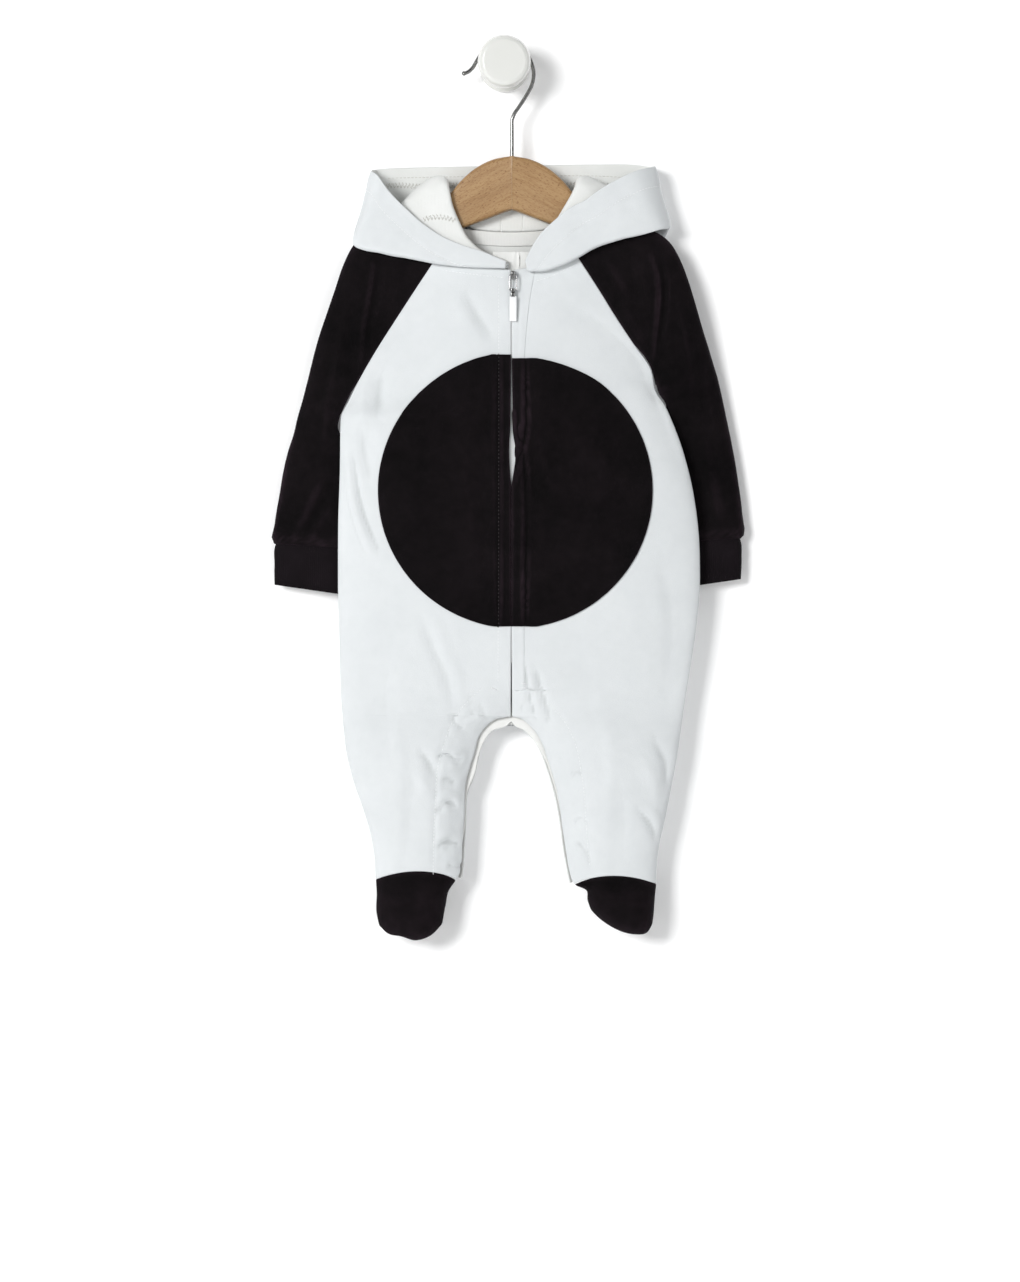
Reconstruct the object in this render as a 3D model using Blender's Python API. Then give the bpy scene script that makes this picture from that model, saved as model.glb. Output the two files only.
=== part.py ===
"""Baby's panda onesie with a hood, zipped, on a wooden hanger that hangs from a wall peg.

The origin is the middle of the peg's back face, on the wall. +Z is up, the garment faces -Y and
+X is to its right as seen from the front. "left" and "right" are the viewer's. Every cloth piece is
a wall built on a grid of points of its middle surface, moved out and in by half of the cloth's
thickness. Tables are in millimetres and the model is in metres.
"""
import math

import bmesh
import bpy
import numpy as np
from mathutils import Vector

MM = 0.001

# ---------------------------------------------------------------- driving dimensions, millimetres
CLOTH = 1.5             # velour wall
HALF = CLOTH / 2
HOOD_HALF = 0.6         # half of the hood's wall
SEAM = 0.3              # space that touching pieces keep
PATCH = 1.2             # belly patch wall
TAPE = 1.0              # zip tape, zip guard and neck tape walls
ZIP_X = 5.5             # the zip's middle line
HANGER_Y = -19.0        # middle plane of the hanger and its hook
HANGER_THICK = 12.0
WIRE = 3.0              # hook wire diameter
BELLY_X = 8.5
BELLY_Z = -332.0
BELLY_R = 106.0
CROTCH_Z = -506.0
FOLD_Y = 0.25           # half of the space between the two edges that meet at a fold


# ---------------------------------------------------------------- tables and curves
def table(names, *rows):
    """A table with named columns."""
    columns = np.array(rows, float).T
    return dict(zip(names.split(), columns))


def smooth(keys, values, at, monotone=False):
    """Cubic through the points (keys, values). A monotone one never passes a neighbour's value."""
    order = np.argsort(keys)
    k = np.asarray(keys, float)[order]
    v = np.asarray(values, float)[order]
    slopes = np.gradient(v, k, axis=0)
    if monotone:
        steps = np.diff(v) / np.diff(k)
        least = 3 * np.minimum(np.abs(steps[1:]), np.abs(steps[:-1]))
        slopes[1:-1] = np.where(steps[1:] * steps[:-1] > 0, np.clip(slopes[1:-1], -least, least), 0)
    at = np.clip(at, k[0], k[-1])
    i = np.clip(np.searchsorted(k, at) - 1, 0, len(k) - 2)
    h = k[i + 1] - k[i]
    t = (at - k[i]) / h
    if v.ndim > 1:
        h = np.asarray(h)[..., None]
        t = np.asarray(t)[..., None]
    return ((2 * t**3 - 3 * t**2 + 1) * v[i] + (t**3 - 2 * t**2 + t) * h * slopes[i]
            + (3 * t**2 - 2 * t**3) * v[i + 1] + (t**3 - t**2) * h * slopes[i + 1])


def column(tab, name, z):
    """A column of a table whose key is z."""
    return smooth(tab["z"], tab[name], z, monotone=True)


def along(points, count, spacing=None):
    """Points spread along a smooth curve through the given points."""
    points = np.asarray(points, float)
    length = np.concatenate([[0], np.cumsum(np.linalg.norm(np.diff(points, axis=0), axis=1))])
    where = np.linspace(0, 1, count) if spacing is None else np.asarray(spacing)
    return smooth(length, points, where * length[-1])


def ease(count):
    """0 to 1, with closer steps at both ends."""
    return (1 - np.cos(np.pi * np.linspace(0, 1, count))) / 2


def ramp(value, start, end):
    """0 at start, 1 at end, smooth between."""
    t = np.clip((value - start) / (end - start), 0, 1)
    return t * t * (3 - 2 * t)


# Side line of the body and leg, from the raglan seam's top to the ankle. fold is 0 where the edge is
# the raglan seam and 1 where the cloth folds round to the back. y is the depth of that edge.
LEFT_SIDE = table("z  x  y  fold",
                  (-152, -53.5, -27.8, 0.0), (-177, -70.0, -27.7, 0.0), (-201, -85.6, -27.6, 0.0),
                  (-224, -100.2, -27.5, 0.0), (-245, -112.2, -27.2, 0.0), (-262, -120.8, -26.8, 0.2),
                  (-275, -126.4, -26.2, 1.0), (-315, -127.0, -26.0, 1.0), (-360, -128.4, -26.0, 1.0),
                  (-400, -128.5, -26.0, 1.0), (-440, -127.5, -25.8, 1.0), (-505, -125.2, -25.2, 1.0),
                  (-540, -120.9, -25.0, 1.0), (-560, -115.5, -24.8, 1.0), (-580, -108.4, -24.6, 1.0),
                  (-600, -102.6, -24.4, 1.0), (-620, -99.7, -24.2, 1.0), (-634, -99.0, -24.0, 1.0))
RIGHT_SIDE = table("z  x  y  fold",
                   (-148, 55.4, -27.8, 0.0), (-174, 72.3, -27.7, 0.0), (-200, 88.5, -27.6, 0.0),
                   (-218, 100.6, -27.4, 0.0), (-236, 113.2, -27.0, 0.15), (-256, 118.4, -26.2, 1.0),
                   (-265, 124.0, -26.1, 1.0), (-275, 128.5, -26.0, 1.0), (-290, 134.5, -26.0, 1.0),
                   (-320, 143.3, -26.0, 1.0), (-360, 149.8, -26.0, 1.0), (-400, 151.2, -26.0, 1.0),
                   (-440, 148.1, -25.8, 1.0), (-470, 143.7, -25.5, 1.0), (-505, 138.1, -25.2, 1.0),
                   (-540, 133.1, -25.0, 1.0), (-580, 125.4, -24.6, 1.0), (-620, 117.7, -24.2, 1.0),
                   (-636, 117.0, -24.0, 1.0))
# Inner edge of each leg, from the crotch to the ankle.
LEFT_INSIDE = table("z  x",
                    (-506, 4.9), (-507.5, -4.0), (-510, -9.6), (-514, -14.2), (-521, -19.2), (-533, -22.9),
                    (-548, -27.6), (-562, -30.6), (-583, -31.0), (-602, -32.4), (-625, -34.0), (-636, -38.0))
RIGHT_INSIDE = table("z  x",
                     (-506, 6.1), (-507.5, 12.0), (-510, 16.0), (-516, 22.4), (-526, 28.6), (-540, 33.7),
                     (-556, 38.7), (-575, 42.9), (-595, 45.7), (-613, 48.6), (-630, 52.0), (-638, 55.0))
# Depth of the middle of the body and of the legs. front and back: at the middle line, or at the
# inner edge of the leg. belly_front and belly_back: how far a leg rounds out of its edges.
DEPTH = table("z  front  back  pinch  belly_front  belly_back",
              (-125, -29.0, -11.2, 0.0, 12, 10), (-160, -30.6, -11.2, 0.0, 12, 10),
              (-200, -34.0, -11.2, 0.0, 12, 10), (-250, -39.0, -11.6, 0.0, 12, 10),
              (-300, -43.0, -12.5, 0.0, 12, 10), (-350, -44.5, -13.0, 0.0, 12, 10),
              (-400, -44.0, -13.0, 0.0, 12, 10), (-440, -42.0, -13.5, 0.0, 12, 10),
              (-470, -38.5, -15.0, 0.05, 12, 10), (-490, -33.5, -17.5, 0.35, 12, 10),
              (-500, -29.8, -19.6, 0.6, 12, 10), (-506, -27.6, -20.9, 0.75, 12, 10),
              (-516, -26.6, -21.6, 0.95, 12, 10), (-530, -26.6, -21.6, 1.0, 12, 10),
              (-580, -26.6, -21.6, 1.0, 12, 10), (-620, -26.0, -22.0, 1.0, 10, 8.5),
              (-638, -25.4, -22.6, 1.0, 9.5, 8.0))
NECK_DIP = {-1: 6.2, 1: 10.5}      # how much lower the neck is at the zip than at the raglan seam
ANKLE = {-1: -633.0, 1: -636.5}    # height of the ankle seam at its ends
ANKLE_RISE = 6.5                   # and how much higher it runs across the foot
BACK_DROP = 5.0                    # the back's crotch hangs lower than the front's
BACK_WIDER = 2.0                   # and its inner leg edge stands out past the front's

# Half width of the zip's slit: the two edges gape where the cloth is pushed up.
SLIT = table("z  half", (-160, 0.3), (-230, 0.3), (-262, 0.6), (-286, 1.3), (-308, 1.8), (-325, 1.0),
             (-350, 0.3), (-480, 0.3), (-500, 0.6), (-640, 0.6))
# Seam of the zip strip on the right front, and its lower end.
STRIP = table("z  x", (-150, 22.8), (-172, 19.7), (-198, 17.6), (-230, 15.7), (-300, 15.3), (-500, 15.3))
STRIP_END = -486.0


def side_table(side):
    return LEFT_SIDE if side < 0 else RIGHT_SIDE


def inner_x(side, z, back=False):
    """x of the middle line above the crotch, and of the leg's inner edge below it."""
    tab = LEFT_INSIDE if side < 0 else RIGHT_INSIDE
    if back:
        shifted = column(tab, "x", z + BACK_DROP) - side * BACK_WIDER * ramp(z, CROTCH_Z - 6, CROTCH_Z - 16)
        return np.where(z > CROTCH_Z - BACK_DROP - 0.1, ZIP_X, shifted)
    return np.where(z > CROTCH_Z, ZIP_X, column(tab, "x", z))


def body_point(side, s, z, back=False):
    """Middle surface of the body: s is 0 at the middle line or inner leg and 1 at the side."""
    tab = side_table(side)
    x_side = column(tab, "x", z)
    y_side = column(tab, "y", z) + FOLD_Y * (1 if back else -1) * column(tab, "fold", z)
    if back:
        y_side = y_side + back_rise(side, z)
    fold = column(tab, "fold", z)
    if back:
        fold = np.where(z > back_armpit(side), 0.25 * fold, fold)
    x_in = inner_x(side, z, back)
    y_in = column(DEPTH, "back" if back else "front", z)
    pinch = column(DEPTH, "pinch", z)
    belly = column(DEPTH, "belly_back", z) if back else -column(DEPTH, "belly_front", z)
    power = 1 - fold / 2
    flat = y_side + (y_in - y_side) * np.power(np.clip(1 - s * s, 0, 1), power)
    roundness = np.where(s < 0.5, 0.8, 0.5)
    tube = y_in + (y_side - y_in) * s + belly * np.power(np.clip(1 - np.abs(2 * s - 1)**2.2, 0, 1), roundness)
    y = flat * (1 - pinch) + tube * pinch
    return np.stack(np.broadcast_arrays(x_in + (x_side - x_in) * s, y, z), axis=-1)


def back_armpit(side):
    return -275.0 if side < 0 else -256.0


def back_rise(side, z):
    """Depth that the back's raglan edge lies behind the front's: it closes at the armpit."""
    armpit = back_armpit(side)
    return 16.8 * ramp(z, armpit, armpit + 46)


# ---------------------------------------------------------------- walls
def merge_grids(grids):
    """Vertices, quads and fold weights of grids that share their equal points."""
    index = {}
    points = []
    folds = []
    quads = []
    for grid, fold in grids:
        rows, cols = grid.shape[:2]
        ids = np.zeros((rows, cols), int)
        for i in range(rows):
            for j in range(cols):
                key = tuple(np.round(grid[i, j], 3))
                if key not in index:
                    index[key] = len(points)
                    points.append(grid[i, j])
                    folds.append(0.0)
                ids[i, j] = index[key]
                folds[ids[i, j]] = max(folds[ids[i, j]], fold[i, j])
        for i in range(rows - 1):
            for j in range(cols - 1):
                quads.append((ids[i, j], ids[i, j + 1], ids[i + 1, j + 1], ids[i + 1, j]))
    return np.array(points), quads, np.array(folds)


def point_normals(points, quads, folds):
    """Area-weighted normals. At a fold, where two pieces meet edge to edge, they have no depth."""
    normals = np.zeros_like(points)
    for quad in quads:
        a, b, c, d = (points[i] for i in quad)
        area = np.cross(c - a, d - b)
        for i in quad:
            normals[i] += area
    normals[:, 1] *= 1 - folds
    return normals / np.linalg.norm(normals, axis=1)[:, None]


def wall(name, grids, colour, outer=HALF, inner=HALF, facing=-1, roughness=0.9, metallic=0.0):
    """A closed wall on one grid or several, outer on the side where the first quad faces -Y or +Y."""
    grids = [g if isinstance(g, tuple) else (g, np.zeros(g.shape[:2])) for g in grids]
    points, quads, folds = merge_grids(grids)
    normals = point_normals(points, quads, folds)
    if normals[quads[0][0], 1] * facing < 0:
        normals = -normals
    mesh = bmesh.new()
    front = [mesh.verts.new(Vector(p * MM)) for p in points + normals * outer]
    rear = [mesh.verts.new(Vector(p * MM)) for p in points - normals * inner]
    uses = {}
    for quad in quads:
        corners = [i for n, i in enumerate(quad) if i != quad[n - 1]]
        mesh.faces.new([front[i] for i in corners])
        mesh.faces.new([rear[i] for i in reversed(corners)])
        for a, b in zip(corners, corners[1:] + corners[:1]):
            uses[frozenset((a, b))] = uses.get(frozenset((a, b)), []) + [(a, b)]
    for edge in uses.values():
        if len(edge) == 1:
            a, b = edge[0]
            mesh.faces.new((front[b], front[a], rear[a], rear[b]))
    return finish(name, mesh, colour, roughness, metallic)


def finish(name, mesh, colour, roughness=0.5, metallic=0.0, smooth_angle=40):
    """Makes the named object, with its faces out and its own material."""
    bmesh.ops.triangulate(mesh, faces=mesh.faces[:], quad_method="SHORT_EDGE")
    bmesh.ops.recalc_face_normals(mesh, faces=mesh.faces[:])
    data = bpy.data.meshes.new(name)
    mesh.to_mesh(data)
    mesh.free()
    data.shade_smooth()
    data.set_sharp_from_angle(angle=math.radians(smooth_angle))
    data.materials.append(material(name, colour, roughness, metallic))
    made = bpy.data.objects.new(name, data)
    bpy.context.scene.collection.objects.link(made)
    return made


def material(name, colour, roughness, metallic):
    made = bpy.data.materials.new(name)
    made.use_nodes = True
    shader = made.node_tree.nodes["Principled BSDF"]
    shader.inputs["Base Color"].default_value = (*colour, 1)
    shader.inputs["Roughness"].default_value = roughness
    shader.inputs["Metallic"].default_value = metallic
    return made


WHITE = (0.78, 0.80, 0.81)
CREAM = (0.84, 0.83, 0.79)
BLACK = (0.012, 0.009, 0.010)
GREY = (0.62, 0.63, 0.64)
BEECH = (0.49, 0.29, 0.13)
STEEL = (0.62, 0.61, 0.58)
ENAMEL = (0.90, 0.90, 0.88)


# ---------------------------------------------------------------- body and legs
ROW_STEP = 22.0


def row_heights(top, bottom, step, extra):
    """Heights from top to bottom, with extra ones where the form changes fast."""
    count = max(2, int(round((top - bottom) / step)) + 1)
    heights = list(np.linspace(top, bottom, count))
    extra = set(extra)
    heights = {z for z in heights if all(abs(z - e) > 0.45 * step for e in extra)} | extra
    return np.array(sorted(heights, reverse=True))


def body_grid(side, spacing, heights, back=False, start=None, top_dip=0.0, at_ankle=True):
    """Grid of the middle surface: a row per height, from the inner edge to the side."""
    rows = []
    folds = []
    top = heights[0]
    for z in heights:
        pinch = float(column(DEPTH, "pinch", z))
        s = (1 - pinch) * np.asarray(spacing, float) + pinch * ease(len(spacing))
        if start is not None:
            s = start(z) + (1 - start(z)) * s
        dip = top_dip * (1 - s) * ramp(z, top - 70, top)
        rise = ANKLE_RISE * 4 * s * (1 - s) * ramp(z, ANKLE[side] + 50, ANKLE[side]) if at_ankle else 0
        zs = z - dip + rise
        rows.append(body_point(side, s, zs, back))
        fold = np.zeros(len(s))
        fold[-1] = 1.0 if z < back_armpit(side) + 2 else 0.0
        folds.append(fold)
    return np.array(rows), np.array(folds)


def narrowed(grid, side, gap=0.2):
    """Pulls the raglan edge in by the seam's space, across the seam."""
    points, folds = grid
    edge = folds[:, -1] < 0.5
    points[edge, -1, 0] -= side * gap
    return points, folds


CROTCH_ROWS = (-470.0, -486.0, -497.0, -503.0)
ARCH_ROWS = (-506.0, -507.5, -509.5, -512.5, -517.0, -524.0, -534.0)
SIDE_TO_SIDE = np.sin(np.linspace(0, 1, 8) * np.pi / 2)


def slit_share(side, z):
    """Share of the half width that the slit takes."""
    return column(SLIT, "half", z) / np.abs(column(side_table(side), "x", z) - ZIP_X)


def strip_share(z, gap):
    width = np.abs(column(RIGHT_SIDE, "x", z) - ZIP_X)
    return (column(STRIP, "x", z) - ZIP_X + gap) / width


def front_start(side):
    def start(z):
        if z <= CROTCH_Z:
            return 0.0
        if side > 0 and z > STRIP_END - 1:
            return float(strip_share(z, SEAM / 2))
        return float(slit_share(side, z))
    return start


def fronts():
    for side, name in ((-1, "front_left"), (1, "front_right")):
        tops = {-1: -154.2, 1: -150.4}
        top = tops[side]
        fixed = CROTCH_ROWS + ARCH_ROWS + ((STRIP_END, STRIP_END - 2) if side > 0 else ())
        heights = row_heights(top, ANKLE[side] + SEAM / 2, ROW_STEP, fixed)
        grid = body_grid(side, SIDE_TO_SIDE, heights, start=front_start(side), top_dip=NECK_DIP[side])
        wall(name, [narrowed(grid, side)], WHITE)


def backs():
    grids = []
    trunk = row_heights(-160.0, -470.0, ROW_STEP, (-470.0,))
    seat = (-486.0, -497.0, -505.0, -511.0)
    for side in (-1, 1):
        legs = row_heights(-518.0, ANKLE[side] + SEAM / 2, ROW_STEP, (-518.0, -524.0, -532.0))
        heights = np.concatenate([trunk, seat, (-512.5, -514.5), legs])
        body = narrowed(body_grid(side, SIDE_TO_SIDE, heights, back=True), side)
        yoke = narrowed(yoke_grid(side, body[0][0]), side)
        grids += [tuple(part[:, ::side] for part in pair) for pair in (body, yoke)]
    wall("back", grids, WHITE)


BACK_NECK = {-1: (-27.5, -128.5), 1: (39.0, -128.0)}
BACK_NECK_LOW = -131.5


def yoke_grid(side, below):
    """Top of the back, from the neck down to the first straight row."""
    raglan = back_seam(side)
    rows = []
    count = 4
    for i in range(count):
        t = i / (count - 1)
        edge = raglan(t * yoke_share(side))
        s = SIDE_TO_SIDE
        x = ZIP_X + (edge[0] - ZIP_X) * s
        z_mid = BACK_NECK_LOW + (below[0, 2] - BACK_NECK_LOW) * t
        z = z_mid + (edge[2] - z_mid) * s * s
        y = column(DEPTH, "back", z) + (edge[1] - column(DEPTH, "back", z)) * s * s
        rows.append(np.stack([x, y, z], axis=-1))
    rows[-1] = below.copy()
    rows[-1][-1, 0] += side * 0.2
    return np.array(rows), np.zeros((count, len(SIDE_TO_SIDE)))


def back_seam(side):
    """The back raglan seam, 0 at the neck and 1 at the armpit."""
    tab = side_table(side)
    neck_x, neck_z = BACK_NECK[side]
    armpit = back_armpit(side)
    heights = np.array([-160.0, -185.0, -210.0, -235.0, -250.0, armpit + 8, armpit])
    heights = heights[heights >= armpit]
    points = [(neck_x, -11.2, neck_z), ((neck_x + column(tab, "x", -160.0)) / 2, -11.2, (neck_z - 160.0) / 2)]
    for z in heights:
        p = body_point(side, np.array(1.0), np.array(z), back=True)
        points.append(tuple(p))
    points = np.array(points)

    def at(share):
        length = np.concatenate([[0], np.cumsum(np.linalg.norm(np.diff(points, axis=0), axis=1))])
        return smooth(length, points, share * length[-1])
    return at


def yoke_share(side):
    """Share of the back raglan seam above the first straight row."""
    raglan = back_seam(side)
    shares = np.linspace(0, 1, 401)
    heights = raglan(shares)[:, 2]
    return float(shares[np.argmin(np.abs(heights + 160.0))])


# ---------------------------------------------------------------- pieces on and behind the fronts
def x_share(side, x, z):
    """Share of the half width at which x lies."""
    return (x - ZIP_X) / (column(side_table(side), "x", z) - ZIP_X)


def front_strip(name, side, x_near, x_far, heights, colour, outer, inner, top_dip=0.0, columns=3):
    """A strip along the front, between two lines given as functions of height."""
    rows = []
    for z in heights:
        s = x_share(side, np.linspace(x_near(z), x_far(z), columns), z)
        dip = top_dip * (1 - s) * ramp(z, heights[0] - 70, heights[0])
        rows.append(body_point(side, s, z - dip))
    return wall(name, [np.array(rows)], colour, outer, inner)


ON_FRONT = HALF + SEAM + 0.1       # from the front's middle surface to what lies on it


def belly_patch():
    """The round patch, cut in two at the zip."""
    for side, name in ((-1, "belly_left"), (1, "belly_right")):
        rows = []
        for turn in np.linspace(math.radians(9), math.radians(171), 17):
            z = BELLY_Z + BELLY_R * math.cos(turn)
            edge = BELLY_X + side * BELLY_R * math.sin(turn)
            near = ZIP_X + side * (float(column(SLIT, "half", z)) + 0.1)
            xs = near + (edge - near) * np.array([0, 0.12, 0.3, 0.5, 0.68, 0.85, 1])
            rows.append(body_point(side, x_share(side, xs, z), np.full(7, z)))
        wall(name, [np.array(rows)], BLACK, ON_FRONT + PATCH, -ON_FRONT, roughness=0.85)


def zip_pieces():
    """The zip strip beside the slit, and the tapes and the guard behind it."""
    strip_rows = row_heights(-150.4, STRIP_END, ROW_STEP, (-286.0, -308.0))
    front_strip("zip_strip", 1, lambda z: ZIP_X + float(column(SLIT, "half", z)),
                lambda z: float(column(STRIP, "x", z)) - SEAM / 2, strip_rows, WHITE, HALF, HALF,
                top_dip=NECK_DIP[1])
    tape_rows = row_heights(-166.0, -466.0, ROW_STEP, ())
    behind = HALF + SEAM
    for side, name in ((-1, "zip_tape_left"), (1, "zip_tape_right")):
        front_strip(name, side, lambda z, side=side: ZIP_X + side * 0.4, lambda z, side=side: ZIP_X + side * 13,
                    tape_rows, GREY, -behind, behind + TAPE)
    behind += TAPE + SEAM
    rows = []
    for z in row_heights(-146.0, -464.0, ROW_STEP, ()):
        left = body_point(-1, x_share(-1, np.array([-9.0, 0.0]), z), z)
        right = body_point(1, x_share(1, np.array([ZIP_X, 11.0, 20.0]), z), z)
        rows.append(np.concatenate([left, right]))
    wall("zip_guard", [np.array(rows)], CREAM, -behind, behind + TAPE)


def leg_band():
    """Band behind the fronts' inner leg edges, from ankle to ankle over the crotch."""
    left = [(float(inner_x(-1, z, back=True)), z) for z in (-620, -602, -584, -566, -550, -536, -525, -518, -514)]
    right = [(float(inner_x(1, z, back=True)), z) for z in (-514, -518, -525, -536, -550, -566, -584, -602, -620)]
    path = along(left + [(ZIP_X, -511.2)] + right, 29)
    run = np.gradient(path, axis=0)
    run /= np.linalg.norm(run, axis=1)[:, None]
    across = np.stack([-run[:, 1], run[:, 0]], axis=1)
    grid = [[(x + dx * w, LEG_BAND_Y, z + dz * w) for w in (0.0, 8.0, LEG_BAND_WIDE)]
            for (x, z), (dx, dz) in zip(path, across)]
    wall("leg_band", [np.array(grid)], WHITE)


LEG_BAND_Y = -24.0
LEG_BAND_WIDE = 16.0


def neck_tape():
    rows = []
    for drop in (0.0, 5.0, 10.0):
        xs = np.linspace(BACK_NECK[-1][0] + 4, BACK_NECK[1][0] - 4, 9)
        spread = np.abs(xs - ZIP_X) / (BACK_NECK[1][0] - ZIP_X)
        rows.append(np.stack([xs, np.full(9, -11.2), -129.8 + 2.4 * spread**2 - drop], axis=-1))
    wall("neck_tape", [np.array(rows)], CREAM, ON_FRONT + TAPE, -ON_FRONT)


# ---------------------------------------------------------------- sleeves and cuffs
# Outer fold of the sleeve above the armpit: share is 0 at the neck and 1 at the armpit. full tells
# how flat the cloth lies between the seam and the fold.
LEFT_SHOULDER = table("share  x  y  z  full  pinch",
                      (0.00, -46.5, -19.0, -101.6, 8.0, 0.0), (0.14, -68.0, -19.0, -116.8, 8.0, 0.0),
                      (0.28, -88.0, -19.0, -124.5, 8.0, 0.0), (0.42, -104.0, -19.0, -130.8, 8.0, 0.0),
                      (0.55, -114.5, -18.5, -138.8, 6.0, 0.0), (0.68, -123.5, -17.0, -154.2, 4.0, 0.0),
                      (0.82, -134.0, -15.5, -184.2, 3.0, 0.15), (0.92, -146.0, -14.0, -221.0, 2.3, 0.5),
                      (1.00, -157.0, -12.8, -262.0, 2.1, 0.9))
RIGHT_SHOULDER = table("share  x  y  z  full  pinch",
                       (0.00, 58.3, -19.0, -101.6, 8.0, 0.0), (0.14, 79.8, -19.0, -116.8, 8.0, 0.0),
                       (0.28, 99.8, -19.0, -124.5, 8.0, 0.0), (0.42, 114.5, -19.0, -129.6, 8.0, 0.0),
                       (0.55, 126.5, -18.5, -137.2, 6.0, 0.0), (0.68, 134.5, -17.0, -149.0, 4.0, 0.0),
                       (0.82, 143.0, -15.5, -171.0, 3.0, 0.15), (0.92, 152.0, -14.0, -200.0, 2.3, 0.5),
                       (1.00, 162.0, -12.8, -233.0, 2.1, 0.9))
# Sleeve below the armpit: its inner fold, behind the body, and its outer fold.
LEFT_ARM = table("in_x  in_y  in_z  out_x  out_y  out_z  belly",
                 (-129.4, -22.0, -283.5, -160.5, -12.2, -274.0, 5.0), (-122.5, -17.8, -294.0, -163.5, -11.6, -287.0, 5.0),
                 (-111.0, -13.6, -306.0, -167.8, -11.0, -301.0, 5.2), (-102.5, -11.0, -319.0, -171.5, -10.6, -316.0, 5.2),
                 (-98.5, -10.5, -335.0, -175.0, -10.5, -336.0, 5.2), (-98.0, -10.5, -355.0, -178.2, -10.5, -356.0, 5.2),
                 (-99.0, -10.5, -372.0, -179.2, -10.5, -368.5, 5.2), (-103.6, -10.5, -377.0, -177.8, -10.5, -372.4, 4.8))
RIGHT_ARM = table("in_x  in_y  in_z  out_x  out_y  out_z  belly",
                  (126.0, -22.0, -265.0, 166.0, -12.2, -246.0, 5.0), (122.5, -17.8, -276.0, 169.7, -11.6, -262.0, 5.0),
                  (116.0, -13.6, -289.0, 173.5, -11.0, -280.0, 5.2), (109.5, -11.0, -303.0, 177.5, -10.6, -300.0, 5.2),
                  (105.5, -10.5, -322.0, 181.5, -10.5, -324.0, 5.2), (105.0, -10.5, -345.0, 184.4, -10.5, -347.0, 5.2),
                  (107.0, -10.5, -367.0, 185.0, -10.5, -363.5, 5.2), (111.2, -10.5, -372.6, 183.2, -10.5, -368.0, 4.8))
CUFF = {-1: table("in_x  in_z  out_x  out_z", (-103.8, -377.6, -177.6, -373.0), (-103.0, -396.0, -178.6, -389.0),
                  (-104.4, -415.0, -178.6, -404.4)),
        1: table("in_x  in_z  out_x  out_z", (111.4, -373.2, 183.0, -368.6), (110.6, -391.0, 184.0, -384.0),
                 (112.0, -410.4, 183.6, -400.0))}


def front_seam(side):
    """The front raglan seam, 0 at the neck and 1 at the armpit."""
    top = {-1: -154.2, 1: -150.4}[side]
    heights = np.linspace(top, back_armpit(side), 9)
    points = [body_point(side, np.array(1.0), np.array(z)) for z in heights]

    def at(share):
        return along(points, 1, [share])[0]
    return at


def arm_row(near, far, back_near, full, pinch, belly, gap):
    """One row round the sleeve: along the front to the outer fold, then back behind it."""
    turns = np.linspace(0, 1, 8)
    s = (1 - pinch) * np.sin(turns * np.pi / 2) + pinch * ease(8)
    row = []
    for start, sign in ((near, -1), (back_near, 1)):
        half = start + (far - start) * s[:, None]
        flat = far[1] + (start[1] - far[1]) * np.power(np.clip(1 - s**full, 0, 1), 1 / full)
        mid = start[1] + (far[1] - start[1]) * s
        tube = mid + sign * belly * np.power(np.clip(1 - np.abs(2 * s - 1)**2.2, 0, 1), 0.5)
        half[:, 1] = (1 - pinch) * flat + pinch * tube
        half[0, 1] += sign * gap
        row.append(half)
    return np.concatenate([row[0], row[1][-2::-1]])


def sleeves():
    for side, name, shoulder, arm in ((-1, "sleeve_left", LEFT_SHOULDER, LEFT_ARM),
                                      (1, "sleeve_right", RIGHT_SHOULDER, RIGHT_ARM)):
        front = front_seam(side)
        rear = back_seam(side)
        rows = []
        folds = []
        for share in np.linspace(0, 1, 10):
            def value(key):
                return float(smooth(shoulder["share"], shoulder[key], share, monotone=True))
            fold = np.array([value("x"), value("y"), value("z")])
            starts = []
            for seam, turns_at in ((front, 0.6), (rear, 0.6)):
                point = np.array(seam(share))
                step = (fold - point)[[0, 2]]
                space = SEAM + 0.15 + 1.9 * CLOTH * float(ramp(share, turns_at, 0.95))
                point[[0, 2]] += step / np.linalg.norm(step) * space
                starts.append(point)
            near = float(ramp(share, 0.85, 1.0)) * FOLD_Y
            between = (starts[0][1] + starts[1][1]) / 2
            fold[1] = between + (fold[1] - between) * value("pinch")
            rows.append(arm_row(starts[0], fold, starts[1], value("full"), value("pinch"), 5.0, near))
            folds.append(1.0 if share > 0.97 else 0.0)
        for i in range(len(arm["in_x"])):
            near = np.array([arm["in_x"][i], arm["in_y"][i], arm["in_z"][i]])
            far = np.array([arm["out_x"][i], arm["out_y"][i], arm["out_z"][i]])
            rows.append(arm_row(near, far, near, 2.0, 1.0, arm["belly"][i], FOLD_Y))
            folds.append(1.0)
        grid = np.array(rows)
        fold = np.zeros(grid.shape[:2])
        fold[:, 0] = folds
        fold[:, -1] = folds
        wall(name, [(grid, fold)], BLACK, roughness=0.85)


def cuffs():
    for side, name in ((-1, "cuff_left"), (1, "cuff_right")):
        tab = CUFF[side]
        rows = []
        for i in range(3):
            near = np.array([tab["in_x"][i], -10.5, tab["in_z"][i]])
            far = np.array([tab["out_x"][i], -10.5, tab["out_z"][i]])
            rows.append(arm_row(near, far, near, 2.0, 1.0, 4.8, 0.0))
        wall(name, [np.array(rows)], BLACK, roughness=0.85)


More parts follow.
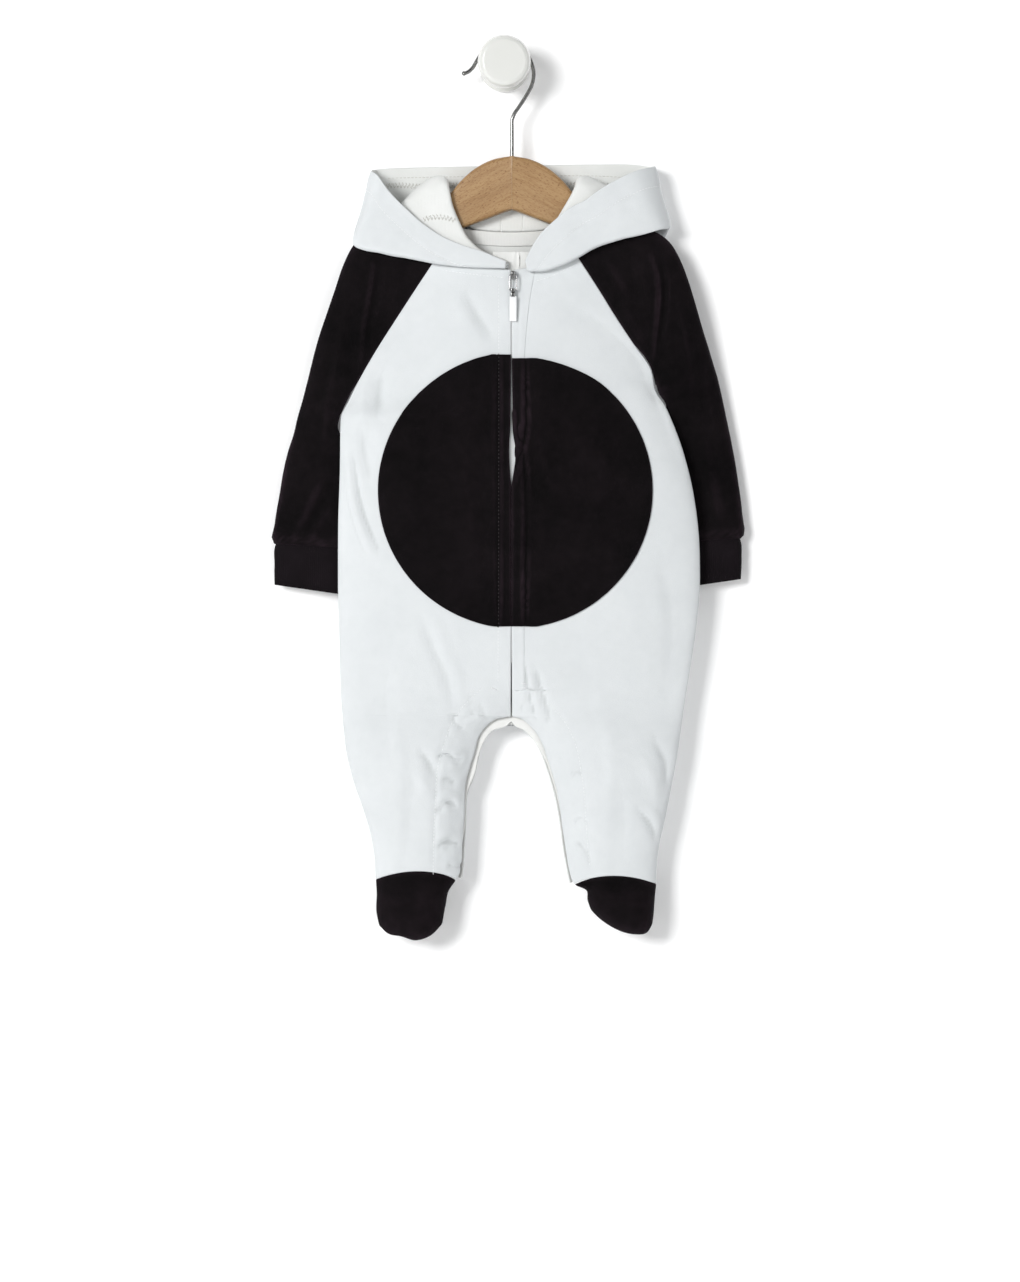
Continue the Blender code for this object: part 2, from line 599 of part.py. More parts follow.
# ---------------------------------------------------------------- feet
FOOT = {-1: dict(out=[(-99.0, -633.4), (-98.4, -645.0), (-98.5, -658.0), (-96.6, -668.5)],
                 toe=[(-96.6, -668.5), (-90.0, -674.3), (-80.0, -676.5), (-69.0, -679.8), (-58.0, -676.5),
                      (-48.8, -667.5)],
                 into=[(-38.4, -633.6), (-43.6, -641.4), (-46.4, -654.0), (-48.8, -667.5)]),
        1: dict(out=[(117.0, -636.9), (115.9, -648.0), (115.2, -659.0), (114.3, -668.0)],
                toe=[(114.3, -668.0), (110.0, -674.3), (101.0, -675.2), (90.0, -672.6), (78.5, -666.4),
                     (67.5, -656.0)],
                into=[(55.2, -637.0), (64.8, -642.0), (65.2, -649.0), (67.5, -656.0)])}
ANKLE_Y = -24.0
TOE_Y = -27.0
FOOT_FRONT = 14.0
FOOT_BACK = 12.0


def foot_grid(side, back):
    """Half of the foot: a patch between the ankle, the toe and the two sides, rounded out in depth."""
    marks = FOOT[side]
    count = 9
    steps = ease(count)
    down = np.sin(np.linspace(0, 1, 8) * np.pi / 2)
    into = along(marks["into"], 8, down)
    out = along(marks["out"], 8, down)
    toe = along(marks["toe"][::-1], count, steps)
    into[0, 1] -= SEAM
    out[0, 1] -= SEAM
    ankle = into[0] + (out[0] - into[0]) * steps[:, None]
    ankle[:, 1] += ANKLE_RISE * 4 * steps * (1 - steps)
    grid = np.zeros((8, count, 3))
    folds = np.zeros((8, count))
    for i, t in enumerate(down):
        for j, s in enumerate(steps):
            flat = ((1 - s) * into[i] + s * out[i] + (1 - t) * ankle[j] + t * toe[j]
                    - ((1 - s) * (1 - t) * into[0] + s * (1 - t) * out[0]
                       + (1 - s) * t * into[-1] + s * t * out[-1]))
            belly = (1 - abs(2 * s - 1)**2.2)**0.5 * (1 - t**2.4)**0.5 if 0 < s < 1 and t < 1 else 0.0
            size = (FOOT_BACK if back else FOOT_FRONT) * (0.68 + 0.32 * ramp(t, 0, 0.5))
            middle = ANKLE_Y + (TOE_Y - ANKLE_Y) * t
            sign = 1 if back else -1
            grid[i, j] = (flat[0], middle + sign * (belly * size + FOLD_Y), flat[1])
            folds[i, j] = 1.0 if s in (steps[0], steps[-1]) or i == 7 else 0.0
    return grid, folds


def feet():
    for side, word in ((-1, "left"), (1, "right")):
        wall("foot_" + word, [foot_grid(side, False)], BLACK, roughness=0.85)
        wall("sole_" + word, [foot_grid(side, True)], BLACK, facing=1, roughness=0.85)


# ---------------------------------------------------------------- hood
# A row for each line from the neck seam (n) over the crest (c), down to the low fold (m) and up to
# the rim (r). inner, mid and over are the depths of the cloth on these three ways. angle is the side
# to which the cloth turns over: 0 to the front, 90 away from the middle, 180 to the back.
LEFT_HOOD = table(
    "nx  ny  nz  cx  cz  mx  mz  rx  rz  inner  mid  over  angle",
    (3.4, -30.6, -159.2, 3.0, -154.6, 1.0, -159.6, 1.4, -154.4, -30.2, -33.6, -38.6, 0),
    (-12.0, -30.0, -157.8, -17.3, -145.7, -18.0, -158.8, -16.0, -147.0, -29.6, -33.2, -38.4, 0),
    (-26.0, -29.4, -156.3, -26.9, -137.5, -38.0, -158.6, -33.0, -141.5, -28.8, -32.6, -38.2, 0),
    (-40.0, -28.8, -154.8, -31.0, -132.0, -55.0, -156.0, -49.0, -134.5, -28.4, -32.2, -38.0, 0),
    (-50.2, -28.2, -149.0, -35.5, -123.0, -72.0, -152.4, -64.0, -124.3, -28.2, -32.0, -37.8, 0),
    (-49.2, -28.0, -130.0, -40.5, -110.5, -88.0, -149.5, -76.0, -113.5, -28.2, -32.0, -37.6, 8),
    (-46.0, -27.4, -108.0, -43.5, -95.5, -97.0, -147.4, -83.0, -106.8, -27.6, -31.6, -37.2, 25),
    (-44.6, -20.0, -99.4, -47.0, -88.5, -106.0, -143.0, -90.0, -99.0, -21.0, -30.0, -36.2, 60),
    (-44.0, -11.2, -103.6, -51.0, -86.8, -113.0, -133.0, -98.0, -87.6, -13.0, -27.0, -33.4, 88),
    (-37.2, -10.9, -113.2, -52.0, -86.2, -114.5, -130.5, -103.2, -82.6, -10.9, -15.0, -20.0, 115),
    (-30.2, -10.9, -123.0, -46.0, -93.0, -113.0, -137.0, -99.0, -79.8, -10.9, -7.0, -3.4, 165),
    (-23.6, -10.9, -128.2, -30.0, -107.0, -95.0, -200.0, -82.0, -78.6, -10.9, -6.8, -1.9, 180),
    (-12.0, -10.9, -130.1, -13.0, -110.0, -55.0, -240.0, -42.0, -77.6, -10.9, -6.8, -1.9, 180),
    (5.5, -10.9, -130.8, 5.5, -111.0, 5.5, -252.0, 5.5, -76.8, -10.9, -6.8, -1.9, 180))
RIGHT_HOOD = table(
    "nx  ny  nz  cx  cz  mx  mz  rx  rz  inner  mid  over  angle",
    (17.4, -30.4, -157.6, 16.2, -153.6, 18.0, -162.0, 16.2, -154.2, -30.2, -33.6, -38.6, 0),
    (25.0, -30.0, -156.0, 22.5, -146.4, 27.5, -162.2, 20.4, -145.0, -29.6, -33.2, -38.4, 0),
    (34.0, -29.4, -154.1, 29.0, -135.5, 42.5, -158.0, 27.2, -134.1, -28.8, -32.6, -38.2, 0),
    (45.0, -28.8, -151.7, 37.0, -127.0, 55.3, -152.2, 36.2, -125.0, -28.4, -32.2, -38.0, 0),
    (52.8, -28.2, -146.0, 43.0, -118.0, 70.0, -144.0, 50.0, -113.7, -28.2, -32.0, -37.8, 0),
    (55.6, -28.0, -126.0, 50.0, -106.5, 85.0, -139.0, 63.0, -106.8, -28.2, -32.0, -37.6, 8),
    (56.7, -27.4, -107.0, 55.5, -95.5, 94.0, -136.4, 71.0, -100.8, -27.6, -31.6, -37.2, 25),
    (56.4, -20.0, -99.4, 58.8, -88.5, 106.0, -133.6, 82.0, -93.8, -21.0, -30.0, -36.2, 60),
    (55.8, -11.2, -103.6, 63.0, -86.8, 121.0, -129.0, 102.0, -84.0, -13.0, -27.0, -33.4, 88),
    (48.8, -10.9, -113.2, 64.0, -86.2, 127.4, -127.5, 117.2, -79.2, -10.9, -15.0, -20.0, 115),
    (41.8, -10.9, -123.0, 58.0, -93.0, 124.0, -135.0, 112.0, -77.6, -10.9, -7.0, -3.4, 165),
    (35.2, -10.9, -127.8, 42.0, -107.0, 106.0, -200.0, 93.5, -75.8, -10.9, -6.8, -1.9, 180),
    (23.6, -10.9, -130.1, 24.6, -110.0, 66.0, -240.0, 53.0, -76.0, -10.9, -6.8, -1.9, 180),
    (5.5, -10.9, -130.8, 5.5, -111.0, 5.5, -252.0, 5.5, -76.8, -10.9, -6.8, -1.9, 180))
HOOD_SIDE_END = 12.55      # row of the tables where the side panel meets the centre strip
LINE_STEPS = np.array([0, 0.5, 1, 2, 3, 3.5, 4, 4.5, 5, 6, 7, 7.5, 8, 8.5, 9])


def towards(point, other, distance):
    """Steps from one point to another, seen from the front, by no more than 0.3 of the way."""
    step = (other - point) * np.array([1.0, 0.0, 1.0])
    length = np.linalg.norm(step, axis=1)[:, None]
    return step / length * np.minimum(distance, 0.3 * length)


def hood_lines(tab, side, rows):
    """Control points of each line, at fractional rows of the table."""
    index = np.arange(len(tab["nx"]), dtype=float)
    value = {key: smooth(index, tab[key], rows, monotone=True) for key in tab}
    turn = np.radians(value["angle"])
    out = np.stack([side * np.sin(turn), -np.cos(turn), 0 * turn], axis=-1)
    depths = [value[key] for key in ("inner", "mid", "over")]
    neck = np.stack([value["nx"], value["ny"], value["nz"]], axis=-1)
    crest = np.stack([value["cx"], (depths[0] + depths[1]) / 2, value["cz"]], axis=-1)
    fold = np.stack([value["mx"], (depths[1] + depths[2]) / 2, value["mz"]], axis=-1)
    rim = np.stack([value["rx"], depths[2], value["rz"]], axis=-1)
    wide = [np.clip(np.abs(b - a) / 2, 1.4, 2.6)[:, None] for a, b in zip(depths, depths[1:])]
    under, over = (crest + fold) / 2, (fold + rim) / 2
    under[:, 1], over[:, 1] = depths[1:]
    return np.stack([neck, crest + towards(crest, neck, 1.8) - out * wide[0], crest,
                     crest + towards(crest, fold, 1.8) + out * wide[0], under,
                     fold + towards(fold, crest, 2.2) - out * wide[1], fold,
                     fold + towards(fold, rim, 2.2) + out * wide[1], over, rim], axis=1)


def hood_grid(tab, side, first, last, count):
    grid = []
    for line in hood_lines(tab, side, np.linspace(first, last, count)):
        length = np.concatenate([[0], np.cumsum(np.linalg.norm(np.diff(line, axis=0), axis=1))])
        at = np.interp(LINE_STEPS, np.arange(10), length)
        grid.append(np.stack([smooth(length, line[:, axis], at, monotone=True) for axis in range(3)], axis=-1))
    return np.array(grid)


def pull_in(grid, row, inward, distance):
    """Moves the row at a seam towards the row inside it."""
    step = grid[inward] - grid[row]
    grid[row] += step / np.linalg.norm(step, axis=-1)[..., None] * distance


def hood():
    for name, tab, side in (("hood_left", LEFT_HOOD, -1), ("hood_right", RIGHT_HOOD, 1)):
        grid = hood_grid(tab, side, 0, HOOD_SIDE_END, 23)
        pull_in(grid, -1, -2, 0.3)
        wall(name, [grid], WHITE, HOOD_HALF, HOOD_HALF)
    centre = np.concatenate([hood_grid(LEFT_HOOD, -1, HOOD_SIDE_END, 13, 3),
                             hood_grid(RIGHT_HOOD, 1, HOOD_SIDE_END, 13, 3)[-2::-1]])
    pull_in(centre, 0, 1, 0.3)
    pull_in(centre, -1, -2, 0.3)
    wall("hood_centre", [centre], WHITE, HOOD_HALF, HOOD_HALF)


# ---------------------------------------------------------------- hanger, hook and peg
HANGER_X = 5.9
ARM_TOP = [(0.0, -71.3), (14.4, -74.0), (27.0, -80.0), (39.0, -90.0), (48.5, -101.0), (58.0, -109.5),
           (66.0, -115.8), (100.0, -128.8)]
ARM_TIP = [(106.5, -132.0), (110.0, -138.5), (109.5, -147.0), (104.5, -152.0)]
ARM_UNDER = [(98.0, -150.2), (66.0, -137.8), (33.0, -125.2), (0.0, -112.6)]
HOOK = [(-31.3, -6.8), (-29.0, -6.1), (-25.1, -3.0), (-21.2, 3.4), (-16.4, 10.2), (-9.6, 15.0), (0.0, 16.5),
        (9.3, 15.2), (16.6, 9.8), (21.0, 1.7), (22.9, -7.0), (21.6, -15.2), (17.2, -23.9), (12.0, -32.0),
        (7.6, -38.6), (6.0, -43.0), (5.9, -49.0), (5.9, -60.0), (5.9, -70.9)]
PEG_PROFILE = [(19.0, 0.0), (19.0, -3.5), (17.0, -5.2), (15.2, -7.0), (14.7, -9.5), (14.7, -29.0), (16.2, -31.6),
               (19.0, -33.0), (20.0, -34.8), (20.0, -41.0), (18.8, -43.6), (16.2, -45.0)]


def hanger():
    """Two beech arms, mitred in the middle, with rounded edges."""
    for side, name in ((-1, "hanger_left"), (1, "hanger_right")):
        outline = [tuple(p) for p in along(ARM_TOP[:5], 9)] + ARM_TOP[5:] + ARM_TIP + ARM_UNDER
        mesh = bmesh.new()
        ring = []
        for dx, z in outline:
            x = HANGER_X + side * max(dx, SEAM / 2)
            ring.append(mesh.verts.new(Vector((x, HANGER_Y - HANGER_THICK / 2, z)) * MM))
        face = mesh.faces.new(ring)
        moved = bmesh.ops.extrude_face_region(mesh, geom=[face])["geom"]
        bmesh.ops.translate(mesh, verts=[g for g in moved if isinstance(g, bmesh.types.BMVert)],
                            vec=(0, HANGER_THICK * MM, 0))
        bmesh.ops.recalc_face_normals(mesh, faces=mesh.faces[:])
        long_edges = [e for e in mesh.edges if abs(e.verts[0].co.y - e.verts[1].co.y) < 1e-6
                      and not all(abs(v.co.x - (HANGER_X + side * SEAM / 2) * MM) < 1e-6 for v in e.verts)]
        bmesh.ops.bevel(mesh, geom=long_edges, offset=2.5 * MM, segments=2, affect="EDGES", profile=0.5)
        finish(name, mesh, BEECH, 0.5, smooth_angle=50)


def hook():
    """Bent wire that lies over the peg's neck and goes down into the hanger."""
    curve = bpy.data.curves.new("hook", "CURVE")
    curve.dimensions = "3D"
    curve.bevel_depth = WIRE / 2 * MM
    curve.bevel_resolution = 2
    curve.use_fill_caps = True
    spline = curve.splines.new("POLY")
    points = along(HOOK, 34)
    spline.points.add(len(points) - 1)
    for i, (x, z) in enumerate(points):
        spline.points[i].co = (x * MM, HANGER_Y * MM, z * MM, 1)
    curve.materials.append(material("hook", STEEL, 0.25, 1.0))
    made = bpy.data.objects.new("hook", curve)
    bpy.context.scene.collection.objects.link(made)


def peg():
    """Turned wall peg: a flange, a neck that the hook lies on, and a round cap."""
    mesh = bmesh.new()
    count = 24
    rings = []
    for radius, y in PEG_PROFILE:
        rings.append([mesh.verts.new(Vector((radius * math.cos(a), y, radius * math.sin(a))) * MM)
                      for a in np.arange(count) * 2 * math.pi / count])
    for near, far in zip(rings, rings[1:]):
        for i in range(count):
            mesh.faces.new((near[i], near[(i + 1) % count], far[(i + 1) % count], far[i]))
    mesh.faces.new(rings[0][::-1])
    mesh.faces.new(rings[-1])
    finish("peg", mesh, ENAMEL, 0.25)


# ---------------------------------------------------------------- zip slider and pull
PULL_X = 6.8
PIVOT_Y = -36.8         # the link's upper bar, in the slider's crown
PIVOT_Z = -164.6
TAB_Z = -177.0          # the link's lower bar, in the tab's eye
LINK_WIRE = 1.0
SLIDER_HALF = 1.2       # half of the slider's width
EYE_HALF = 1.4          # half of the width of the tab's eye
TAB_HALF = 2.7          # and of the tab below it


def plate(name, pairs, half_widths, colour, roughness, metallic):
    """A bent plate: pairs of (depth, height) points on its two faces, with half the width at each."""
    mesh = bmesh.new()
    rows = []
    for pair, half_width in zip(pairs, half_widths):
        corners = [(x, *point) for x in (PULL_X - half_width, PULL_X + half_width) for point in pair]
        rows.append([mesh.verts.new(Vector(corner) * MM) for corner in corners])
    for near, far in zip(rows, rows[1:]):
        for a, b in ((0, 1), (1, 3), (3, 2), (2, 0)):
            mesh.faces.new((near[a], near[b], far[b], far[a]))
    for row in (rows[0], rows[-1]):
        mesh.faces.new((row[0], row[1], row[3], row[2]))
    return finish(name, mesh, colour, roughness, metallic)


def slider():
    """Slider body with the crown in which the link turns."""
    face = PIVOT_Y + 1.0
    crown = PIVOT_Y - 0.8
    plate("zip_slider", [((face, -168.4), (-33.0, -168.4)), ((face, -163.2), (-33.0, -161.2)),
                         ((crown, -163.2), (crown - 0.7, -162.2)), ((crown, -165.8), (crown - 0.7, -165.8))],
          [SLIDER_HALF] * 4, STEEL, 0.3, 1.0)


def ring_mesh(name, corners, thickness, colour, metallic):
    """A closed loop of wire through the corners, in a plane of constant depth."""
    mesh = bmesh.new()
    count = len(corners)
    rings = []
    for i, (x, z) in enumerate(corners):
        before = Vector(corners[i - 1])
        after = Vector(corners[(i + 1) % count])
        here = Vector((x, z))
        bisector = ((here - before).normalized() - (after - here).normalized())
        across = bisector.normalized() if bisector.length > 1e-6 else Vector((0, 1))
        stretch = 1 / max(0.4, abs(across.dot(Vector(((after - here).y, -(after - here).x)).normalized())))
        ring = []
        for k in range(6):
            turn = 2 * math.pi * k / 6
            out = across * (math.cos(turn) * thickness / 2 * stretch)
            ring.append(mesh.verts.new(Vector((x + out.x, PIVOT_Y + math.sin(turn) * thickness / 2, z + out.y)) * MM))
        rings.append(ring)
    for i in range(count):
        near, far = rings[i], rings[(i + 1) % count]
        for k in range(6):
            mesh.faces.new((near[k], near[(k + 1) % 6], far[(k + 1) % 6], far[k]))
    return finish(name, mesh, colour, 0.3, metallic)


def pull():
    """Wire link in the slider's crown, and the tab whose eye runs on the link's lower bar."""
    top, low = PIVOT_Z, TAB_Z
    wide = 2.6
    ring_mesh("pull_link", [(PULL_X - wide, top), (PULL_X + wide, top), (PULL_X + wide, low + 0.8),
                            (PULL_X + wide - 0.8, low), (PULL_X - wide + 0.8, low), (PULL_X - wide, low + 0.8)],
              LINK_WIRE, STEEL, 1.0)
    front, rear = PIVOT_Y - 0.75, PIVOT_Y + 0.75
    eye, shell = 0.85, 1.5
    plate("pull_tab", [((front, -200.9), (rear, -200.9)), ((front, -182.6), (rear, -182.6)),
                       ((front, -181.4), (rear, -181.4)), ((front, -178.9), (rear, -179.9)),
                       ((PIVOT_Y + eye, -178.0), (PIVOT_Y + shell, -178.8)),
                       ((PIVOT_Y + eye, -176.1), (PIVOT_Y + shell, -175.4)),
                       ((PIVOT_Y - eye, -176.1), (PIVOT_Y - shell, -175.4)),
                       ((PIVOT_Y - eye, -177.7), (PIVOT_Y - shell, -177.9))],
          [TAB_HALF] * 2 + [EYE_HALF] * 6, ENAMEL, 0.4, 0.0)


def clear_scene():
    for item in list(bpy.data.objects):
        bpy.data.objects.remove(item)


def main():
    clear_scene()
    fronts()
    backs()
    belly_patch()
    zip_pieces()
    leg_band()
    neck_tape()
    sleeves()
    cuffs()
    feet()
    hood()
    hanger()
    hook()
    peg()
    slider()
    pull()


main()
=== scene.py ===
"""Looks of the baby's panda onesie on its hanger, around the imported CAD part.

Every cloth piece is a thin shell close to the form of its solid, on a finer grid, with its folds,
seams and stitches. Tables are in millimetres and the scene is in metres. "left" and "right" are the
viewer's, and the front faces -Y.
"""

import math

import bmesh
import bpy
import numpy as np
from mathutils import Matrix, Vector, noise
from mathutils.bvhtree import BVHTree


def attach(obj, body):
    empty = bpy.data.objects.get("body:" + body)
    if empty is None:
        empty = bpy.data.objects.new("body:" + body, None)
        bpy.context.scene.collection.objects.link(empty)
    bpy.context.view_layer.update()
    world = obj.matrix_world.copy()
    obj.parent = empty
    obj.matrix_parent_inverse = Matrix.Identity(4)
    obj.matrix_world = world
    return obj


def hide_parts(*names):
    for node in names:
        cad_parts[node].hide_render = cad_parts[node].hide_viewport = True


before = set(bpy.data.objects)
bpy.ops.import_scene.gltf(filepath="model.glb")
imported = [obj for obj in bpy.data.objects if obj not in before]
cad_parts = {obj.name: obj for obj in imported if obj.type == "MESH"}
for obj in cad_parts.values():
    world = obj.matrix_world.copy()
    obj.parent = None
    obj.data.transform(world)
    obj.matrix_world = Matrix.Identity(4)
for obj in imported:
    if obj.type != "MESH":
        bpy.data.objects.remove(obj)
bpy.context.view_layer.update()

MM = 0.001
SIDES = ((-1, "left"), (1, "right"))
CLOTH = 1.5
HALF = CLOTH / 2
HOOD_HALF = 0.6
SEAM = 0.3                         # gap between two cloths that are sewn together
PATCH = 1.2
TAPE = 1.0
ON_FRONT = HALF + SEAM + 0.1       # from the front's middle surface to a cloth that lies on it
EDGE = 1.3                         # radius of a turned edge of the main cloth
ZIP_X = 5.5
BELLY_X = 8.5
BELLY_Z = -332.0
BELLY_R = 106.0
CROTCH_Z = -506.0
FOLD_Y = 0.25                      # half the gap between front and back at the side fold
ARM_Y = -10.5                      # depth of the hanging sleeves and cuffs
BACK_Y = -11.2                     # depth of the back neck
STUDS = (-539.5, -573.0, -606.0)   # heights of the press studs along the legs
HANGER_X = 5.9
HANGER_Y = -19.0
HANGER_THICK = 12.0
WIRE = 3.0


# ---------------------------------------------------------------- tables and curves
def table(text):
    """Rows of numbers under a line of column names."""
    names, *rows = text.splitlines()
    return dict(zip(names.split(), np.array([row.split() for row in rows], float).T))


def trace(text):
    """Points of a line, each written as two numbers with a comma."""
    return [tuple(map(float, spot.split(","))) for spot in text.split()]


def folds(text):
    """Folds, one to a row: height of the ridge, or of the trough when negative, half width, and its way."""
    rows = [row.split(maxsplit=2) for row in text.splitlines()]
    return [(float(height), float(width), trace(way)) for height, width, way in rows]


def smooth(keys, values, at, monotone=False):
    """Cubic through the points (keys, values). A monotone one never passes a neighbour's value."""
    order = np.argsort(keys)
    k = np.asarray(keys, float)[order]
    v = np.asarray(values, float)[order]
    slopes = np.gradient(v, k, axis=0)
    if monotone:
        steps = np.diff(v) / np.diff(k)
        least = 3 * np.minimum(np.abs(steps[1:]), np.abs(steps[:-1]))
        slopes[1:-1] = np.where(steps[1:] * steps[:-1] > 0, np.clip(slopes[1:-1], -least, least), 0)
    at = np.clip(at, k[0], k[-1])
    i = np.clip(np.searchsorted(k, at) - 1, 0, len(k) - 2)
    h = k[i + 1] - k[i]
    t = (at - k[i]) / h
    if v.ndim > 1:
        h = np.asarray(h)[..., None]
        t = np.asarray(t)[..., None]
    return ((2 * t**3 - 3 * t**2 + 1) * v[i] + (t**3 - 2 * t**2 + t) * h * slopes[i]
            + (3 * t**2 - 2 * t**3) * v[i + 1] + (t**3 - t**2) * h * slopes[i + 1])


def column(tab, name, z):
    """A column of a table whose key is z."""
    return smooth(tab["z"], tab[name], z, monotone=True)


def along(points, count, spacing=None):
    """Points spread along a smooth curve through the given points."""
    points = np.asarray(points, float)
    length = np.concatenate([[0], np.cumsum(np.linalg.norm(np.diff(points, axis=0), axis=1))])
    where = np.linspace(0, 1, count) if spacing is None else np.asarray(spacing)
    return smooth(length, points, where * length[-1])


def curve(points):
    """The smooth curve through the points, as a function of the share of its length."""
    return lambda share: along(points, 0, share)


def ramp(value, start, end):
    """0 at start, 1 at end, smooth between."""
    t = np.clip((value - start) / (end - start), 0, 1)
    return t * t * (3 - 2 * t)


def dome(share, power):
    """0 at both ends of the share and 1 in the middle, as a rounded tube."""
    return np.power(np.clip(1 - np.abs(2 * share - 1)**2.2, 0, 1), power)


def xyz(points):
    """The coordinates of a grid of points, apart."""
    return np.moveaxis(points, -1, 0)


# ---------------------------------------------------------------- outlines of the body
# Side line of the body and leg, from the raglan seam's top to the ankle. fold is 0 where the edge is
# the raglan seam and 1 where the cloth folds round to the back. y is the depth of that edge.
LEFT_SIDE = table("""z x y fold
-152 -53.5 -27.8 0
-177 -70 -27.7 0
-201 -85.6 -27.6 0
-224 -100.2 -27.5 0
-245 -112.2 -27.2 0
-262 -120.8 -26.8 0.2
-275 -126.4 -26.2 1
-315 -127 -26 1
-360 -128.4 -26 1
-400 -128.5 -26 1
-440 -127.5 -25.8 1
-505 -125.2 -25.2 1
-540 -120.9 -25 1
-560 -115.5 -24.8 1
-580 -108.4 -24.6 1
-600 -102.6 -24.4 1
-620 -99.7 -24.2 1
-634 -99 -24 1""")
RIGHT_SIDE = table("""z x y fold
-148 55.4 -27.8 0
-174 72.3 -27.7 0
-200 88.5 -27.6 0
-218 100.6 -27.4 0
-236 113.2 -27 0.15
-256 118.4 -26.2 1
-265 124 -26.1 1
-275 128.5 -26 1
-290 134.5 -26 1
-320 143.3 -26 1
-360 149.8 -26 1
-400 151.2 -26 1
-440 148.1 -25.8 1
-470 143.7 -25.5 1
-505 138.1 -25.2 1
-540 133.1 -25 1
-580 125.4 -24.6 1
-620 117.7 -24.2 1
-636 117 -24 1""")
# Inner edge of each leg, from the crotch to the ankle.
LEFT_INSIDE = table("""z x
-506 4.9
-507.5 -4
-510 -9.6
-514 -14.2
-521 -19.2
-533 -22.9
-548 -27.6
-562 -30.6
-583 -31
-602 -32.4
-625 -34
-636 -38""")
RIGHT_INSIDE = table("""z x
-506 6.1
-507.5 12
-510 16
-516 22.4
-526 28.6
-540 33.7
-556 38.7
-575 42.9
-595 45.7
-613 48.6
-630 52
-638 55""")
# Depth of the middle of the body and of the legs. front and back: at the middle line, or at the
# inner edge of the leg. belly_front and belly_back: how far a leg rounds out of its edges.
DEPTH = table("""z front back pinch belly_front belly_back
-125 -29 -11.2 0 12 10
-160 -30.6 -11.2 0 12 10
-200 -34 -11.2 0 12 10
-250 -39 -11.6 0 12 10
-300 -43 -12.5 0 12 10
-350 -44.5 -13 0 12 10
-400 -44 -13 0 12 10
-440 -42 -13.5 0 12 10
-470 -38.5 -15 0.05 12 10
-490 -33.5 -17.5 0.35 12 10
-500 -29.8 -19.6 0.6 12 10
-506 -27.6 -20.9 0.75 12 10
-516 -26.6 -21.6 0.95 12 10
-530 -26.6 -21.6 1 12 10
-580 -26.6 -21.6 1 12 10
-620 -26 -22 1 10 8.5
-638 -25.4 -22.6 1 9.5 8""")
FRONT_TOP = {-1: -154.2, 1: -150.4}
NECK_DIP = {-1: 6.2, 1: 10.5}      # how much lower the neck is at the zip than at the raglan seam
ANKLE = {-1: -633.0, 1: -636.5}    # height of the ankle seam at its ends
ANKLE_RISE = 6.5                   # and how much higher it runs across the foot
BACK_ARMPIT = {-1: -275.0, 1: -256.0}
BACK_DROP = 7.5                    # the back's crotch hangs lower than the front's
BACK_WIDER = 1.1                   # and its inner leg edge stands out past the front's
BACK_NECK = {-1: (-27.5, -128.5), 1: (39.0, -128.0)}
BACK_NECK_LOW = -131.5
BACK_TOP = -160.0                  # the first straight row of the back
# Half width of the zip's slit: the two edges gape where the cloth is pushed up.
SLIT = table("""z half
-160 0.3
-222 0.3
-232 0.35
-262 0.55
-284 0.9
-298 1.7
-312 1.4
-322 0.7
-330 0
-436 0
-444 0.3
-480 0.4
-500 0.5
-640 0.5""")
# How much further the right edge gapes.
GAPE = table("""z more
-160 0
-228 0
-262 0.2
-284 0.3
-292 1
-300 1.6
-310 1.2
-322 0.3
-330 0
-640 0""")
# Seam of the zip strip on the right front, and its lower end.
STRIP = table("""z x
-150 22.8
-172 19.7
-198 17.6
-230 15.7
-300 15.3
-500 15.3""")
STRIP_END = -486.0


def side_table(side):
    return LEFT_SIDE if side < 0 else RIGHT_SIDE


def inner_x(side, z, back=False):
    """x of the middle line above the crotch, and of the leg's inner edge below it."""
    tab = LEFT_INSIDE if side < 0 else RIGHT_INSIDE
    if back:
        wider = BACK_WIDER * ramp(z, CROTCH_Z - 6, CROTCH_Z - 16)
        if side < 0:
            wider = wider + 1.3 * np.exp(-((z + 530) / 12)**2) + 2.4 * np.exp(-((z + 552) / 11)**2)
        shifted = column(tab, "x", z + BACK_DROP) - side * wider
        return np.where(z > CROTCH_Z - BACK_DROP - 0.1, ZIP_X, shifted)
    return np.where(z > CROTCH_Z, ZIP_X, column(tab, "x", z))


def body_point(side, s, z, back=False):
    """Middle surface of the body: s is 0 at the middle line or inner leg and 1 at the side."""
    tab = side_table(side)
    x_side = column(tab, "x", z)
    fold = column(tab, "fold", z)
    y_side = column(tab, "y", z) + FOLD_Y * (1 if back else -1) * fold
    if back:
        # The back's raglan edge lies behind the front's, and closes on it at the armpit.
        armpit = BACK_ARMPIT[side]
        y_side = y_side + 16.8 * ramp(z, armpit, armpit + 46)
        fold = np.where(z > armpit, 0.25 * fold, fold)
    x_in = inner_x(side, z, back)
    y_in = column(DEPTH, "back" if back else "front", z)
    pinch = column(DEPTH, "pinch", z)
    belly = column(DEPTH, "belly_back", z) if back else -column(DEPTH, "belly_front", z)
    flat = y_side + (y_in - y_side) * np.power(np.clip(1 - s * s, 0, 1), 1 - fold / 2)
    tube = y_in + (y_side - y_in) * s + belly * dome(s, np.where(s < 0.5, 0.8, 0.5))
    y = flat * (1 - pinch) + tube * pinch
    return np.stack(np.broadcast_arrays(x_in + (x_side - x_in) * s, y, z), axis=-1)


def x_share(side, x, z):
    """Share of the half width at which x lies."""
    return (x - ZIP_X) / (column(side_table(side), "x", z) - ZIP_X)


